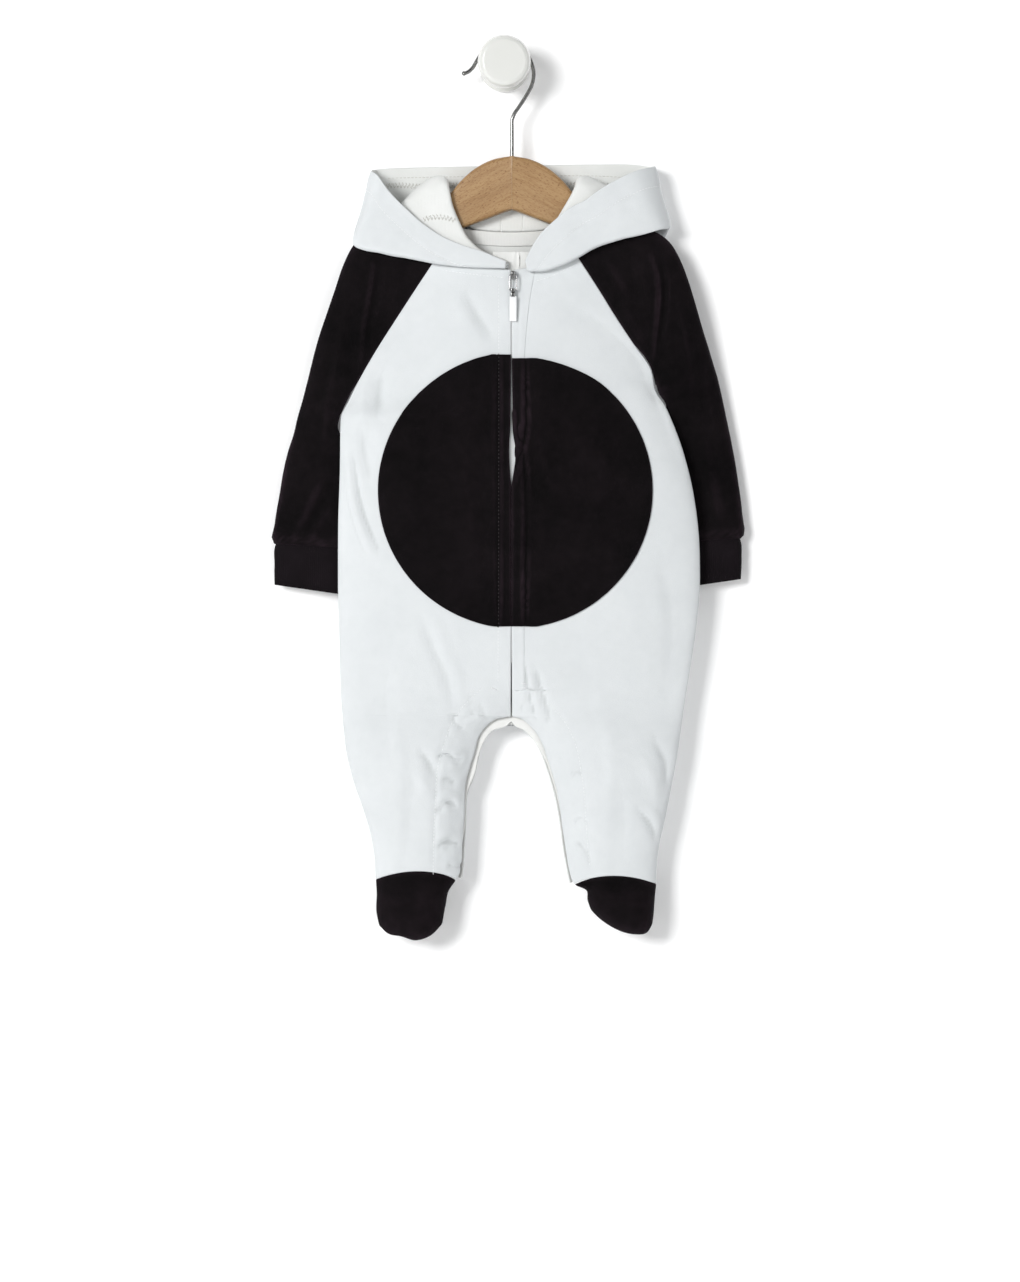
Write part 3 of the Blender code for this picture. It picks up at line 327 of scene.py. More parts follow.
def front_start(side, z):
    """Share of the half width at which the front starts: beside the slit, or beside the zip strip."""
    if z <= CROTCH_Z:
        return 0.0
    width = np.abs(column(side_table(side), "x", z) - ZIP_X)
    if side > 0 and z > STRIP_END:
        return float((column(STRIP, "x", z) - ZIP_X + 0.02) / width)
    return float(column(SLIT, "half", z) / width)


def front_seam(side):
    """The front raglan seam, 0 at the neck and 1 at the armpit."""
    heights = np.linspace(FRONT_TOP[side], BACK_ARMPIT[side], 9)
    return curve([body_point(side, np.array(1.0), np.array(z)) for z in heights])


def back_seam(side):
    """The back raglan seam, 0 at the neck and 1 at the armpit."""
    neck_x, neck_z = BACK_NECK[side]
    armpit = BACK_ARMPIT[side]
    heights = np.array([BACK_TOP, -185.0, -210.0, -235.0, -250.0, armpit + 8, armpit])
    shoulder = column(side_table(side), "x", BACK_TOP)
    points = [(neck_x, BACK_Y, neck_z), ((neck_x + shoulder) / 2, BACK_Y, (neck_z + BACK_TOP) / 2)]
    points += [body_point(side, np.array(1.0), np.array(z), True) for z in heights[heights >= armpit]]
    return curve(points)


def yoke_share(side):
    """Share of the back raglan seam above the first straight row."""
    shares = np.linspace(0, 1, 401)
    heights = back_seam(side)(shares)[:, 2]
    return float(shares[np.argmin(np.abs(heights - BACK_TOP))])


# ---------------------------------------------------------------- outlines of sleeves, feet and hood
# Outer fold of the sleeve above the armpit: share is 0 at the neck and 1 at the armpit. full tells
# how flat the cloth lies between the seam and the fold.
LEFT_SHOULDER = table("""share x y z full pinch
0 -46.5 -19 -101.6 8 0
0.14 -68 -19 -116.8 8 0
0.28 -88 -19 -124.5 8 0
0.42 -104 -19 -130.8 8 0
0.55 -114.5 -18.5 -138.8 6 0
0.68 -123.5 -17 -154.2 4 0
0.82 -134 -15.5 -184.2 3 0.15
0.92 -146 -14 -221 2.3 0.5
1 -157 -12.8 -262 2.1 0.9""")
RIGHT_SHOULDER = table("""share x y z full pinch
0 58.3 -19 -101.6 8 0
0.14 79.8 -19 -116.8 8 0
0.28 99.8 -19 -124.5 8 0
0.42 114.5 -19 -129.6 8 0
0.55 126.5 -18.5 -137.2 6 0
0.68 134.5 -17 -149 4 0
0.82 143 -15.5 -171 3 0.15
0.92 152 -14 -200 2.3 0.5
1 162 -12.8 -233 2.1 0.9""")
# Sleeve below the armpit: its inner fold, behind the body, and its outer fold.
LEFT_ARM = table("""in_x in_y in_z out_x out_y out_z belly
-129.4 -22 -283.5 -160.5 -12.2 -274 5
-122.5 -17.8 -294 -163.5 -11.6 -287 5
-111 -13.6 -306 -167.8 -11 -301 5.2
-102.5 -11 -319 -171.5 -10.6 -316 5.2
-98.5 -10.5 -335 -175 -10.5 -336 5.2
-98 -10.5 -355 -178.2 -10.5 -356 5.2
-99 -10.5 -372 -179.2 -10.5 -368.5 5.2
-103.6 -10.5 -377 -177.8 -10.5 -372.4 4.8""")
RIGHT_ARM = table("""in_x in_y in_z out_x out_y out_z belly
126 -22 -265 166 -12.2 -246 5
122.5 -17.8 -276 169.7 -11.6 -262 5
116 -13.6 -289 173.5 -11 -280 5.2
109.5 -11 -303 177.5 -10.6 -300 5.2
105.5 -10.5 -322 181.5 -10.5 -324 5.2
105 -10.5 -345 184.4 -10.5 -347 5.2
107 -10.5 -367 185 -10.5 -363.5 5.2
111.2 -10.5 -372.6 183.2 -10.5 -368 4.8""")
CUFF = {-1: table("""in_x in_z out_x out_z
-103.8 -377.6 -177.6 -373
-103 -396 -178.6 -389
-104.4 -415 -178.6 -404.4"""),
        1: table("""in_x in_z out_x out_z
111.4 -373.2 183 -368.6
110.6 -391 184 -384
112 -410.4 183.6 -400""")}
FOOT = {-1: dict(out=trace("-99,-633.4 -98.4,-645 -98.5,-658 -96.6,-668.5"),
                 toe=trace("-96.6,-668.5 -90,-674.3 -80,-676.5 -69,-679.8 -58,-676.5 -48.8,-667.5"),
                 into=trace("-38.4,-633.6 -43.6,-641.4 -46.4,-654 -48.8,-667.5")),
        1: dict(out=trace("117,-636.9 115.9,-648 115.2,-659 114.3,-668"),
                toe=trace("114.3,-668 110,-674.3 101,-675.2 90,-672.6 78.5,-666.4 67.5,-656"),
                into=trace("55.2,-637 64.8,-642 65.2,-649 67.5,-656"))}
ANKLE_Y = -24.0
TOE_Y = -27.0
FOOT_DEPTH = {False: 14.0, True: 12.0}      # of the upper, and of the sole
# A row for each line from the neck seam (n) over the crest (c), down to the low fold (m) and up to
# the rim (r). inner, mid and over are the depths of the cloth on these three ways. angle is the side
# to which the cloth turns over: 0 to the front, 90 away from the middle, 180 to the back.
LEFT_HOOD = table("""nx ny nz cx cz mx mz rx rz inner mid over angle
3.4 -30.6 -159.2 3 -154.6 1 -159.6 1.4 -154.4 -30.2 -33.3 -36.6 0
-12 -30 -157.8 -17.3 -145.7 -18 -158.8 -16 -147 -29.6 -33 -36.4 0
-26 -29.4 -156.3 -26.9 -137.5 -38 -158 -33 -141.5 -28.8 -32.6 -36.6 0
-40 -28.8 -154.8 -31 -132 -55 -155.6 -49 -134.5 -28.4 -32.2 -36.9 0
-50.2 -28.2 -149 -35.5 -123 -72 -152.4 -64 -124.3 -28.2 -32 -37.8 0
-49.2 -28 -130 -40.5 -110.5 -88 -149.5 -76 -113.5 -28.2 -32 -37.6 8
-46 -27.4 -108 -43.5 -95.5 -97 -147.2 -83 -106.8 -27.6 -31.6 -37.2 25
-44.6 -20 -99.4 -47 -88.5 -108 -145.2 -90 -99 -21 -30 -36.2 60
-44 -11.2 -103.6 -51 -86.8 -115 -141.5 -98 -87.6 -13 -27 -33.4 88
-37.2 -10.9 -113.2 -52 -86.2 -115.2 -135.5 -103.2 -82.6 -10.9 -15 -20 115
-30.2 -10.9 -123 -46 -93 -113 -137 -99 -79.8 -10.9 -7 -3.4 165
-23.6 -10.9 -128.2 -30 -107 -95 -200 -82 -78.6 -10.9 -6.8 -1.9 180
-12 -10.9 -130.1 -13 -110 -55 -240 -42 -77.6 -10.9 -6.8 -1.9 180
5.5 -10.9 -130.8 5.5 -111 5.5 -252 5.5 -76.8 -10.9 -6.8 -1.9 180""")
RIGHT_HOOD = table("""nx ny nz cx cz mx mz rx rz inner mid over angle
17.4 -30.4 -157.6 16.2 -153.6 18 -162 16.2 -154.2 -30.2 -33.6 -38.6 0
25 -30 -156 22.5 -146.4 27.5 -162.2 20.4 -145 -29.6 -33.2 -38.4 0
34 -29.4 -154.1 29 -135.5 42.5 -158 27.2 -134.1 -28.8 -32.6 -38.2 0
45 -28.8 -151.7 37 -127 55.3 -152.2 36.2 -125 -28.4 -32.2 -38 0
52.8 -28.2 -146 43 -118 70 -144 50 -113.7 -28.2 -32 -37.8 0
55.6 -28 -126 50 -106.5 85 -139 63 -106.8 -28.2 -32 -37.6 8
56.7 -27.4 -107 55.5 -95.5 94 -136.4 71 -100.8 -27.6 -31.6 -37.2 25
56.4 -20 -99.4 58.8 -88.5 106 -133.6 82 -93.8 -21 -30 -36.2 60
55.8 -11.2 -103.6 63 -86.8 121 -129 102 -84 -13 -27 -33.4 88
48.8 -10.9 -113.2 64 -86.2 127.4 -127.5 117.2 -79.2 -10.9 -15 -20 115
41.8 -10.9 -123 58 -93 124 -135 112 -77.6 -10.9 -7 -3.4 165
35.2 -10.9 -127.8 42 -107 106 -200 93.5 -75.8 -10.9 -6.8 -1.9 180
23.6 -10.9 -130.1 24.6 -110 66 -240 53 -76 -10.9 -6.8 -1.9 180
5.5 -10.9 -130.8 5.5 -111 5.5 -252 5.5 -76.8 -10.9 -6.8 -1.9 180""")
HOOD = ("hood_left", "hood_right", "hood_centre")
HOOD_SIDE_END = 12.55      # row of the tables where the side panel meets the centre strip
HOOD_END = 13
HEM = 15.5                 # from the rim to the hem's stitching


def towards(point, other, distance):
    """Steps from one point to another, seen from the front, by no more than 0.3 of the way."""
    step = (other - point) * np.array([1.0, 0.0, 1.0])
    length = np.linalg.norm(step, axis=1)[:, None]
    return step / length * np.minimum(distance, 0.3 * length)


def hood_lines(tab, side, rows):
    """Control points of each line, at fractional rows of the table."""
    index = np.arange(len(tab["nx"]), dtype=float)
    value = {key: smooth(index, tab[key], rows, monotone=True) for key in tab}
    turn = np.radians(value["angle"])
    out = np.stack([side * np.sin(turn), -np.cos(turn), 0 * turn], axis=-1)
    depths = [value[key] for key in ("inner", "mid", "over")]
    neck = np.stack([value["nx"], value["ny"], value["nz"]], axis=-1)
    crest = np.stack([value["cx"], (depths[0] + depths[1]) / 2, value["cz"]], axis=-1)
    fold = np.stack([value["mx"], (depths[1] + depths[2]) / 2, value["mz"]], axis=-1)
    rim = np.stack([value["rx"], depths[2], value["rz"]], axis=-1)
    wide = [np.clip(np.abs(b - a) / 2, 1.4, 2.6)[:, None] for a, b in zip(depths, depths[1:])]
    under, over = (crest + fold) / 2, (fold + rim) / 2
    under[:, 1], over[:, 1] = depths[1:]
    return np.stack([neck, crest + towards(crest, neck, 1.8) - out * wide[0], crest,
                     crest + towards(crest, fold, 1.8) + out * wide[0], under,
                     fold + towards(fold, crest, 2.2) - out * wide[1], fold,
                     fold + towards(fold, rim, 2.2) + out * wide[1], over, rim], axis=1)


ARM_TOP = trace("0,-71.3 14.4,-74 27,-80 39,-90 48.5,-101 58,-109.5 66,-115.8 100,-128.8")
ARM_TIP = trace("106.5,-132 110,-138.5 109.5,-147 104.5,-152")
ARM_UNDER = trace("98,-150.2 66,-137.8 33,-125.2 0,-112.6")
HOOK = trace("""-31.3,-6.8 -29,-6.1 -25.1,-3 -21.2,3.4 -16.4,10.2 -9.6,15 0,16.5 9.3,15.2 16.6,9.8 21,1.7
22.9,-7 21.6,-15.2 17.2,-23.9 12,-32 7.6,-38.6 6,-43 5.9,-49 5.9,-60 5.9,-70.9""")
PEG_PROFILE = trace("""19,0 19,-3.5 17,-5.2 15.2,-7 14.7,-9.5 14.7,-29 16.2,-31.6 19,-33 20,-34.8 20,-41
18.8,-43.6 16.2,-45""")

# ---------------------------------------------------------------- folds of the cloth
PIXEL = 0.775
VIEW_X, VIEW_Z = 504.3, 62.8      # the view units' place of x = 0 and z = 0


def from_view(marks):
    """Marks as seen from the front, in view units, as (x, z) in millimetres."""
    return [((u - VIEW_X) * PIXEL, (VIEW_Z - v) * PIXEL) for u, v in marks]


FRONT_FOLDS = folds("""-2.1 5.5 382,374 378,398 379,420
1.4 6 367,372 363,400 366,430
2 3.4 348,456 353.5,500 361,528 371,552
-1.9 2.2 354,458 360.5,500 369,526 379,549
-1.7 5 363,428 364,452 370,480
-1.5 2.6 652,382 655,392 662,402
1.2 4 660,378 668,400 676,425
-1.2 7 640,330 648,372 664,420 680,470
-1.2 9 660,560 672,620 668,690
-1 9 392,640 384,700 390,760
-1.3 4.5 423,626 432,650 444,678 451,706
0.9 5 436,622 446,648 458,676 464,700
-2 3.2 421,752 428,763 434,777
1.2 4.5 416,768 424,782 430,797
-2 4.5 655,742 664,762 667,788
1.2 5 645,760 654,782 656,802
-1.8 3.6 638,812 650,826 657,842
1.2 3.6 646,806 657,818 660,830
-1.4 3.4 575,840 584,850 590,864
1.5 3.2 528,664 532,684 536,698 543,716
-1.6 2.1 525.5,668 528,690 531,704 536,720
-1.6 2.6 537,672 542,690 546,704 549,720
-1.3 2.2 477,703 481,711 484,717
-0.9 8 560,300 600,325 632,352
-1.2 4.5 466,296 477,317 492,340
0.8 5 456,296 467,318 480,340
-1 8 405,800 409,830 404,860
-1 8 618,780 622,820 620,860
1.1 9 600,705 612,760 606,830
1 8 395,720 402,770 399,830""")
# Short creases across the left band, where its studs pull, and small ones on the right.
BAND_FOLDS = folds("""-1.5 1.6 437,757 446,754 456,759
0.9 2.2 438,764 447,762 457,766
-1.7 1.7 436,812 446,803 458,806
1 2.4 437,800 446,793 459,796
-1.8 1.7 436,848 446,841 459,845
1.1 2.4 438,838 448,832 460,836
-1.1 1.8 440,781 448,779 455,784
-1.2 1.7 447,864 456,868 463,864
-0.9 1.8 583,775 576,772 570,776
-0.9 1.8 588,822 580,818 573,822
-1.2 2 462,729 455,722 452,712
-1 2 474,716 470,706 471,698""")
LEG_STITCHES = {
    -1: trace("""481.8,688.3 468.8,700 457.9,713 448.2,730.6 441.7,752 437.3,769.6 435.8,793.5 434.1,826
433,858.5 433.2,876"""),
    1: trace("545,700 556,711 565,722 575,742 582,775 587,830 590,868")}
NECK_STITCHES = {-1: trace("441,270 462,273 486,276 505,278"),
                 1: trace("536,281 547,278 562,271 578,264")}
ZIP_STITCHES = trace("498.6,284 498.6,420 498.4,560 498,684")
# The patch beside the zip: the stitched edge on the left, and on the right the strip that is pinched
# and twisted where the slit gapes, and soft bulges further out.
PATCH_FOLDS = {
    -1: folds("""0.39 1.5 501.5,352 501.5,450 501.5,540 501.5,630
-0.45 1.2 498.2,352 498.2,450 498.2,540 498.2,630
0.33 2.2 491.5,352 492,370 492.5,400 492,450
0.72 7 470,410 466,460 470,520 480,575
-0.59 6 484,420 482,480 488,550
0.59 9 420,440 414,490 424,540"""),
    1: folds("""0.59 1.5 522.6,358 522.8,405 523,425 519.6,441 517.8,455 521,470 522.6,490 522.4,560 522.2,628
-0.98 1.2 525.6,358 525.8,405 526.4,426 523.6,441 521.6,455 524.6,470 525.6,490 525.4,560 525.2,628
0.52 2 529,400 529.6,428 527,444 525.4,456 528,470 529,500
0.72 1.3 514.6,410 515.6,428 516.4,440 519,447
-1.04 1 516.6,425 518.2,436 520.6,444
0.78 1.2 521,444 518.2,450 515.6,458
-1.04 1 522,449 519.4,455 517.4,464
0.65 1.4 520.4,462 518,472 516.6,486
0.72 6 541,385 538,430 546,470 560,520
-0.65 6 533,450 534,500 536,560
0.65 9 588,400 600,460 590,540"""),
}
# Grooves that the lines of stitches pull into the cloth, and the zip strip's raised edge.
SEAM_LINES = [
    (-0.50, 1.5, LEG_STITCHES[-1]), (0.35, 2.2, [(u + 4.5, v + 1.5) for u, v in LEG_STITCHES[-1]]),
    (-0.24, 1.4, LEG_STITCHES[1]), (-0.22, 1.3, NECK_STITCHES[-1]), (-0.28, 1.4, NECK_STITCHES[1]),
    (-0.20, 1.1, ZIP_STITCHES), (0.15, 1.6, [(u + 3.6, v) for u, v in ZIP_STITCHES]),
    (0.20, 1.5, trace("521.6,300 521.6,420 521.6,560 521.8,684")),
    (-0.9, 1.2, [(528, 690), (530, 698), (533, 712)]), (-0.7, 1.3, [(521, 700), (522.5, 712)]),
    (0.7, 1.6, [(525, 691), (526.5, 700), (528, 711)]),
]
BACK_FOLDS = folds("""2 9 470,420 462,520 470,620
-1.8 7 500,430 506,520 500,610
1.8 9 560,400 572,500 566,600
-1.9 5 360,420 372,480 380,560
-1.9 5 672,430 664,500 668,580
-2.1 4.5 430,690 470,676 510,690 550,678 600,696
1.7 6 420,660 470,652 520,664 590,656
1.5 7 400,720 408,780 400,850
-1.5 5 424,730 428,790 420,850
1.5 7 622,720 612,780 620,850
-1.5 5 600,730 596,790 604,850
-1.6 4 372,700 392,712 410,734
-1.6 4 660,690 640,706 624,730
1.4 6 430,560 480,572 530,560""")
# Folds of each sleeve: on its front (0) and behind (1).
SLEEVE_FOLDS = {
    (-1, 0): folds("""1.9 2.6 372.5,262 371,278 368,298 362.5,330 360,364
-1.6 3.4 380,266 377,284 373,304 367,334
-1 5 356,290 350,325 345,360
-1.2 6 330,360 322,400 316,450
1.6 4 319,480 308,504 292,538
1.4 3.4 326,508 318,526 306,540
-1.4 4 327,486 317,510 302,538
-1.1 5 336,330 326,372 312,418"""),
    (1, 0): folds("""2.1 2.4 650,256 656,272 657.5,300 655,330 652,362
-1.8 3.2 660,262 664.5,282 664,312 660,342
1.2 5 606,260 616,276 626,296
-1 6 626,258 636,284 640,306
1.2 5 622,306 634,330 646,356
-1.3 6 694,330 700,380 706,430
1.4 5 706,440 714,480 722,520
-1.3 5 700,470 706,500 710,528
1.1 5 678,300 688,350 694,400"""),
    (-1, 1): folds("""1.62 7 345,300 330,370 318,440
-1.62 5 356,350 342,410 334,470
-1.35 5 320,420 306,470 296,520"""),
    (1, 1): folds("""1.62 7 672,300 690,370 704,440
-1.62 5 662,340 680,410 694,470
-1.35 5 704,420 716,470 726,520"""),
}


def fold_height(folds, x, z):
    """Height of the folds over each point. A fold fades at both ends and is steeper on one side."""
    total = np.zeros(x.size)
    xs, zs = np.ravel(x), np.ravel(z)
    for number, (height, width, marks) in enumerate(folds):
        path = along(from_view(marks), 16)
        low, high = path.min(axis=0) - 3.2 * width, path.max(axis=0) + 3.2 * width
        near = np.flatnonzero((xs > low[0]) & (xs < high[0]) & (zs > low[1]) & (zs < high[1]))
        if not len(near):
            continue
        start, step = path[:-1], np.diff(path, axis=0)
        dx, dz = xs[near, None] - start[:, 0], zs[near, None] - start[:, 1]
        t = np.clip((dx * step[:, 0] + dz * step[:, 1]) / (step**2).sum(axis=1), 0, 1)
        gap = np.hypot(dx - t * step[:, 0], dz - t * step[:, 1])
        pick = gap.argmin(axis=1)
        row = np.arange(len(near))
        away = gap[row, pick]
        place = (pick + t[row, pick]) / len(step)
        side = np.sign(dx[row, pick] * step[pick, 1] - dz[row, pick] * step[pick, 0])
        steep = 1 + (0.35 * side * (1 if number % 2 else -1) if width > 2 else 0)
        if width > 2:
            ends = np.sin(np.pi * np.clip(place * 0.86 + 0.07, 0, 1))**0.7
        else:
            ends = np.minimum(1, 8 * np.minimum(place + 0.02, 1.02 - place))
        total[near] += height * np.exp(-(away / (width * steep))**2) * ends
    return total.reshape(np.shape(x))


def unevenness(x, y, z, seed, wide=38.0, tall=85.0, height=0.5):
    """Soft uneven swell of hanging cloth."""
    flat = np.array([noise.noise(Vector((a / wide + seed, b / wide, c / tall)))
                     + 0.35 * noise.noise(Vector((a / 13 + seed, b / 13, c / 19)))
                     + 0.12 * noise.noise(Vector((a / 5 + seed, b / 5, c / 6)))
                     for a, b, c in zip(np.ravel(x), np.ravel(y), np.ravel(z))])
    return height * flat.reshape(np.shape(x))


# ---------------------------------------------------------------- shells
def fractions(length, step, radius=1.5):
    """0 to 1 in steps of about step millimetres, with fine ones at both ends for the rounded edge."""
    rim = np.array([0, 0.05, 0.15, 0.32, 0.6]) * radius
    count = max(2, int(round((length - 2 * radius) / step)) + 1)
    middle = np.linspace(radius, length - radius, count)
    return np.concatenate([rim, middle, length - rim[::-1]]) / length


def travelled(grid, axis):
    """Distance from the first row or column, along the surface."""
    steps = np.linalg.norm(np.diff(grid, axis=axis), axis=-1)
    start = np.zeros_like(np.take(steps, [0], axis=axis))
    return np.concatenate([start, np.cumsum(steps, axis=axis)], axis=axis)


def remaining(grid, axis):
    """Distance to the last row or column, along the surface."""
    way = travelled(grid, axis)
    return np.take(way, [-1], axis=axis) - way


def surface_normals(grid, direction, row=0.5, column_=0.5):
    """Unit normals, on the side that faces the direction at the given place of the grid."""
    across, down = np.gradient(grid, axis=1), np.gradient(grid, axis=0)
    normal = np.cross(across, down)
    length = np.linalg.norm(normal, axis=-1, keepdims=True)
    normal = normal / np.maximum(length, 1e-9)
    place = normal[int(row * (grid.shape[0] - 1)), int(column_ * (grid.shape[1] - 1))]
    return normal * (1 if np.dot(place, direction) > 0 else -1)


def shared_normals(grids, facings):
    """Normals of each grid. Where two grids share their first column, so do its normals."""
    normals = [surface_normals(grid, *facing) for grid, facing in zip(grids, facings)]
    for grid, normal in zip(grids, normals):
        closed = np.linalg.norm(grid[:, 0] - grid[:, -1], axis=1) < 0.01
        mean = normal[closed, 0] + normal[closed, -1]
        normal[closed, 0] = normal[closed, -1] = mean / np.linalg.norm(mean, axis=1, keepdims=True)
    if len(grids) == 2:
        rows = min(len(grids[0]), len(grids[1]))
        same = np.flatnonzero(np.linalg.norm(grids[0][:rows, 0] - grids[1][:rows, 0], axis=1) < 0.5)
        mean = normals[0][same, 0] + normals[1][same, 0]
        mean = mean / np.linalg.norm(mean, axis=1, keepdims=True)
        for normal in normals:
            normal[same, 0] = mean
    return normals


def relaxed(grid, passes):
    """The grid, smoothed inside its edges."""
    grid = grid.copy()
    for _ in range(passes):
        grid[1:-1, 1:-1] = (0.5 * grid[1:-1, 1:-1] + 0.125 * (grid[:-2, 1:-1] + grid[2:, 1:-1]
                                                              + grid[1:-1, :-2] + grid[1:-1, 2:]))
    return grid


def roundness(grid, edges):
    """0 at each rounded edge and 1 further in. edges gives the radius at the top, bottom, first and last."""
    share = np.ones(grid.shape[:2])
    gaps = (travelled(grid, 0), remaining(grid, 0), travelled(grid, 1), remaining(grid, 1))
    for gap, radius in zip(gaps, edges):
        radius = np.broadcast_to(radius, share.shape)
        bend = np.sqrt(np.clip(1 - (1 - np.clip(gap / np.maximum(radius, 1e-6), 0, 1))**2, 0, 1))
        share = np.minimum(share, np.where(radius > 0, bend, 1.0))
    return share


def put(name, data, looks, body="suit", slot=None, nodes=()):
    """Puts a mesh into the scene on its body, and when a slot is given hides the nodes that it replaces."""
    for look in looks:
        data.materials.append(look)
    made = bpy.data.objects.new(name, data)
    bpy.context.scene.collection.objects.link(made)
    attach(made, body)
    if slot:
        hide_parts(*nodes)
    return made


def settle(name, mesh):
    """The bmesh as mesh data."""
    data = bpy.data.meshes.new(name)
    mesh.to_mesh(data)
    mesh.free()
    return data


def skin(mesh, rings, closed=False, turned=True):
    """Faces between rings of vertices, and over both ends unless the rings are closed."""
    for near, far in zip(rings, rings[1:] + rings[:1] if closed else rings[1:]):
        for i in range(len(near)):
            k = (i + 1) % len(near)
            mesh.faces.new((near[i], near[k], far[k], far[i])).smooth = True
    if not closed:
        mesh.faces.new(rings[0][::-1] if turned else rings[0])
        mesh.faces.new(rings[-1])


PIECES = {}


def shell(node, parts, cloth, outer=HALF, inner=HALF):
    """One piece of cloth from one grid or two: (points, facing, edges, relief)."""
    looks, slot = cloth
    middle, half = (outer - inner) / 2, (outer + inner) / 2
    area = width = length = 0.0
    grids, facings, _, reliefs = zip(*parts)
    normals = shared_normals(grids, facings)
    if reliefs[0] is not None:
        grids = [points + normal * relief[..., None]
                 for points, normal, relief in zip(grids, normals, reliefs)]
        normals = shared_normals(grids, facings)
    spots, faces, places, sheets = [], [], [], []
    for points, normal, (_, _, edges, _) in zip(grids, normals, parts):
        share = roundness(points, edges)[..., None]
        across, down = travelled(points, 1), travelled(points, 0)
        rows, columns = points.shape[:2]
        i, j = rows // 2, columns // 3
        flip = np.cross(points[i, j + 1] - points[i, j], points[i + 1, j] - points[i, j]) @ normal[i, j] > 0
        index = np.arange(rows * columns).reshape(rows, columns)
        quads = np.stack([index[:-1, :-1], index[:-1, 1:], index[1:, 1:], index[1:, :-1]], axis=-1)
        quads = quads.reshape(-1, 4)
        flat = np.stack([across, down], axis=-1).reshape(-1, 2) / 100
        for sheet, sign in enumerate((1, -1)):
            cloud = points + normal * (middle + sign * half * share)
            turned = quads if flip != (sign < 0) else quads[:, ::-1]
            faces.append(turned + sum(len(spot) for spot in spots))
            spots.append(cloud.reshape(-1, 3) * MM)
            places.append(flat[turned.ravel()])
            sheets.append(np.full(len(turned), min(sheet, len(looks) - 1)))
        quad = points[1:, 1:] - points[:-1, :-1], points[1:, :-1] - points[:-1, 1:]
        area += float(np.linalg.norm(np.cross(*quad), axis=-1).sum() / 2) * 1e-6
        width += float(across[:, -1].max()) * MM
        length = max(length, float(down[-1].max()) * MM)
    data = bpy.data.meshes.new(node + "_cloth")
    data.from_pydata(np.concatenate(spots).tolist(), [], np.concatenate(faces).tolist())
    data.uv_layers.new(name="cloth").data.foreach_set("uv", np.concatenate(places).ravel())
    data.polygons.foreach_set("material_index", np.concatenate(sheets))
    data.polygons.foreach_set("use_smooth", np.ones(len(data.polygons), bool))
    mesh = bmesh.new()
    mesh.from_mesh(data)
    bmesh.ops.remove_doubles(mesh, verts=mesh.verts[:], dist=3e-6)
    mesh.to_mesh(data)
    mesh.free()
    PIECES[node] = put(node + "_cloth", data, looks, slot=slot, nodes=[node])


FRONT = ((0, -1, 0),)
BEHIND = ((0, 1, 0),)
HOOD_FACING = ((0, -1, 0), 0.3, 0.88)
HOOD_BEHIND = ((0, 1, 0), 0.5, 0.88)


# ---------------------------------------------------------------- materials
def feed(tree, node, values):
    """Sets a node's inputs: each to a number or a colour, or linked to another node's output."""
    for key, value in values.items():
        socket = node.inputs[key]
        if isinstance(value, bpy.types.NodeSocket):
            tree.links.new(value, socket)
        else:
            socket.default_value = (*value, 1) if socket.type == "RGBA" else value


def add(tree, kind, values, **settings):
    node = tree.nodes.new("ShaderNode" + kind)
    for key, value in settings.items():
        setattr(node, key, value)
    feed(tree, node, values)
    return node


def node_material(name):
    made = bpy.data.materials.new(name)
    made.use_nodes = True
    tree = made.node_tree
    return made, tree, tree.nodes["Principled BSDF"]


def whereabouts(tree):
    return add(tree, "TexCoord", {}).outputs["Object"]


def add_noise(tree, vector, scale, detail, rough):
    values = {"Scale": scale, "Detail": detail, "Roughness": rough, "Vector": vector}
    return add(tree, "TexNoise", values).outputs["Fac"]


def mixed(tree, fac, first, second, blend="MIX"):
    """The first colour turned into the second, or multiplied by it, by so much as fac says."""
    return add(tree, "Mix", {0: fac, 6: first, 7: second}, data_type="RGBA", blend_type=blend).outputs[2]


def stretch(tree, fac, low, high):
    return add(tree, "MapRange", {"From Min": low, "From Max": high, "Value": fac}).outputs["Result"]


def bump(tree, height, strength, distance, **under):
    values = {"Strength": strength, "Distance": distance, "Height": height, **under}
    return add(tree, "Bump", values).outputs["Normal"]


def velour(name, dark, light, sheen, tint, nap, specular=0.15, painted_ridge_highlight=None, painted_crease_shade=None):
    """Short cut pile: brushed patches, a fine grain and a soft glow at grazing angles. By the mesh's
    pointiness, ridges are lightened with a painted highlight and hollows darkened with painted shade."""
    made, tree, shader = node_material(name)
    where = whereabouts(tree)
    patches = add_noise(tree, where, 22.0, 3.0, 0.6)
    brushed = add_noise(tree, where, 130.0, 3.0, 0.6)
    pile = add_noise(tree, where, 1500.0, 2.0, 0.6)
    both = add(tree, "Math", {0: brushed, 1: 0.5, 2: patches}, operation="MULTIPLY_ADD").outputs[0]
    colour = mixed(tree, stretch(tree, both, 0.45, 1.05), dark, light)
    bend = add(tree, "NewGeometry", {}).outputs["Pointiness"]
    # Painted light by pointiness: a painted highlight multiplied onto ridges, and painted shade onto hollows
    # and creases.
    for tone, low, high in ((painted_ridge_highlight, 0.503, 0.535), (painted_crease_shade, 0.497, 0.470)):
        if tone:
            colour = mixed(tree, stretch(tree, bend, low, high), colour, tone, "MULTIPLY")
    coarse = bump(tree, brushed, nap, 0.0005)
    feed(tree, shader, {"Base Color": colour, "Roughness": 0.85, "Specular IOR Level": specular,
                        "Sheen Weight": sheen, "Sheen Roughness": 0.45, "Sheen Tint": tint,
                        "Normal": bump(tree, pile, 0.45, 0.00025, Normal=coarse)})
    return made


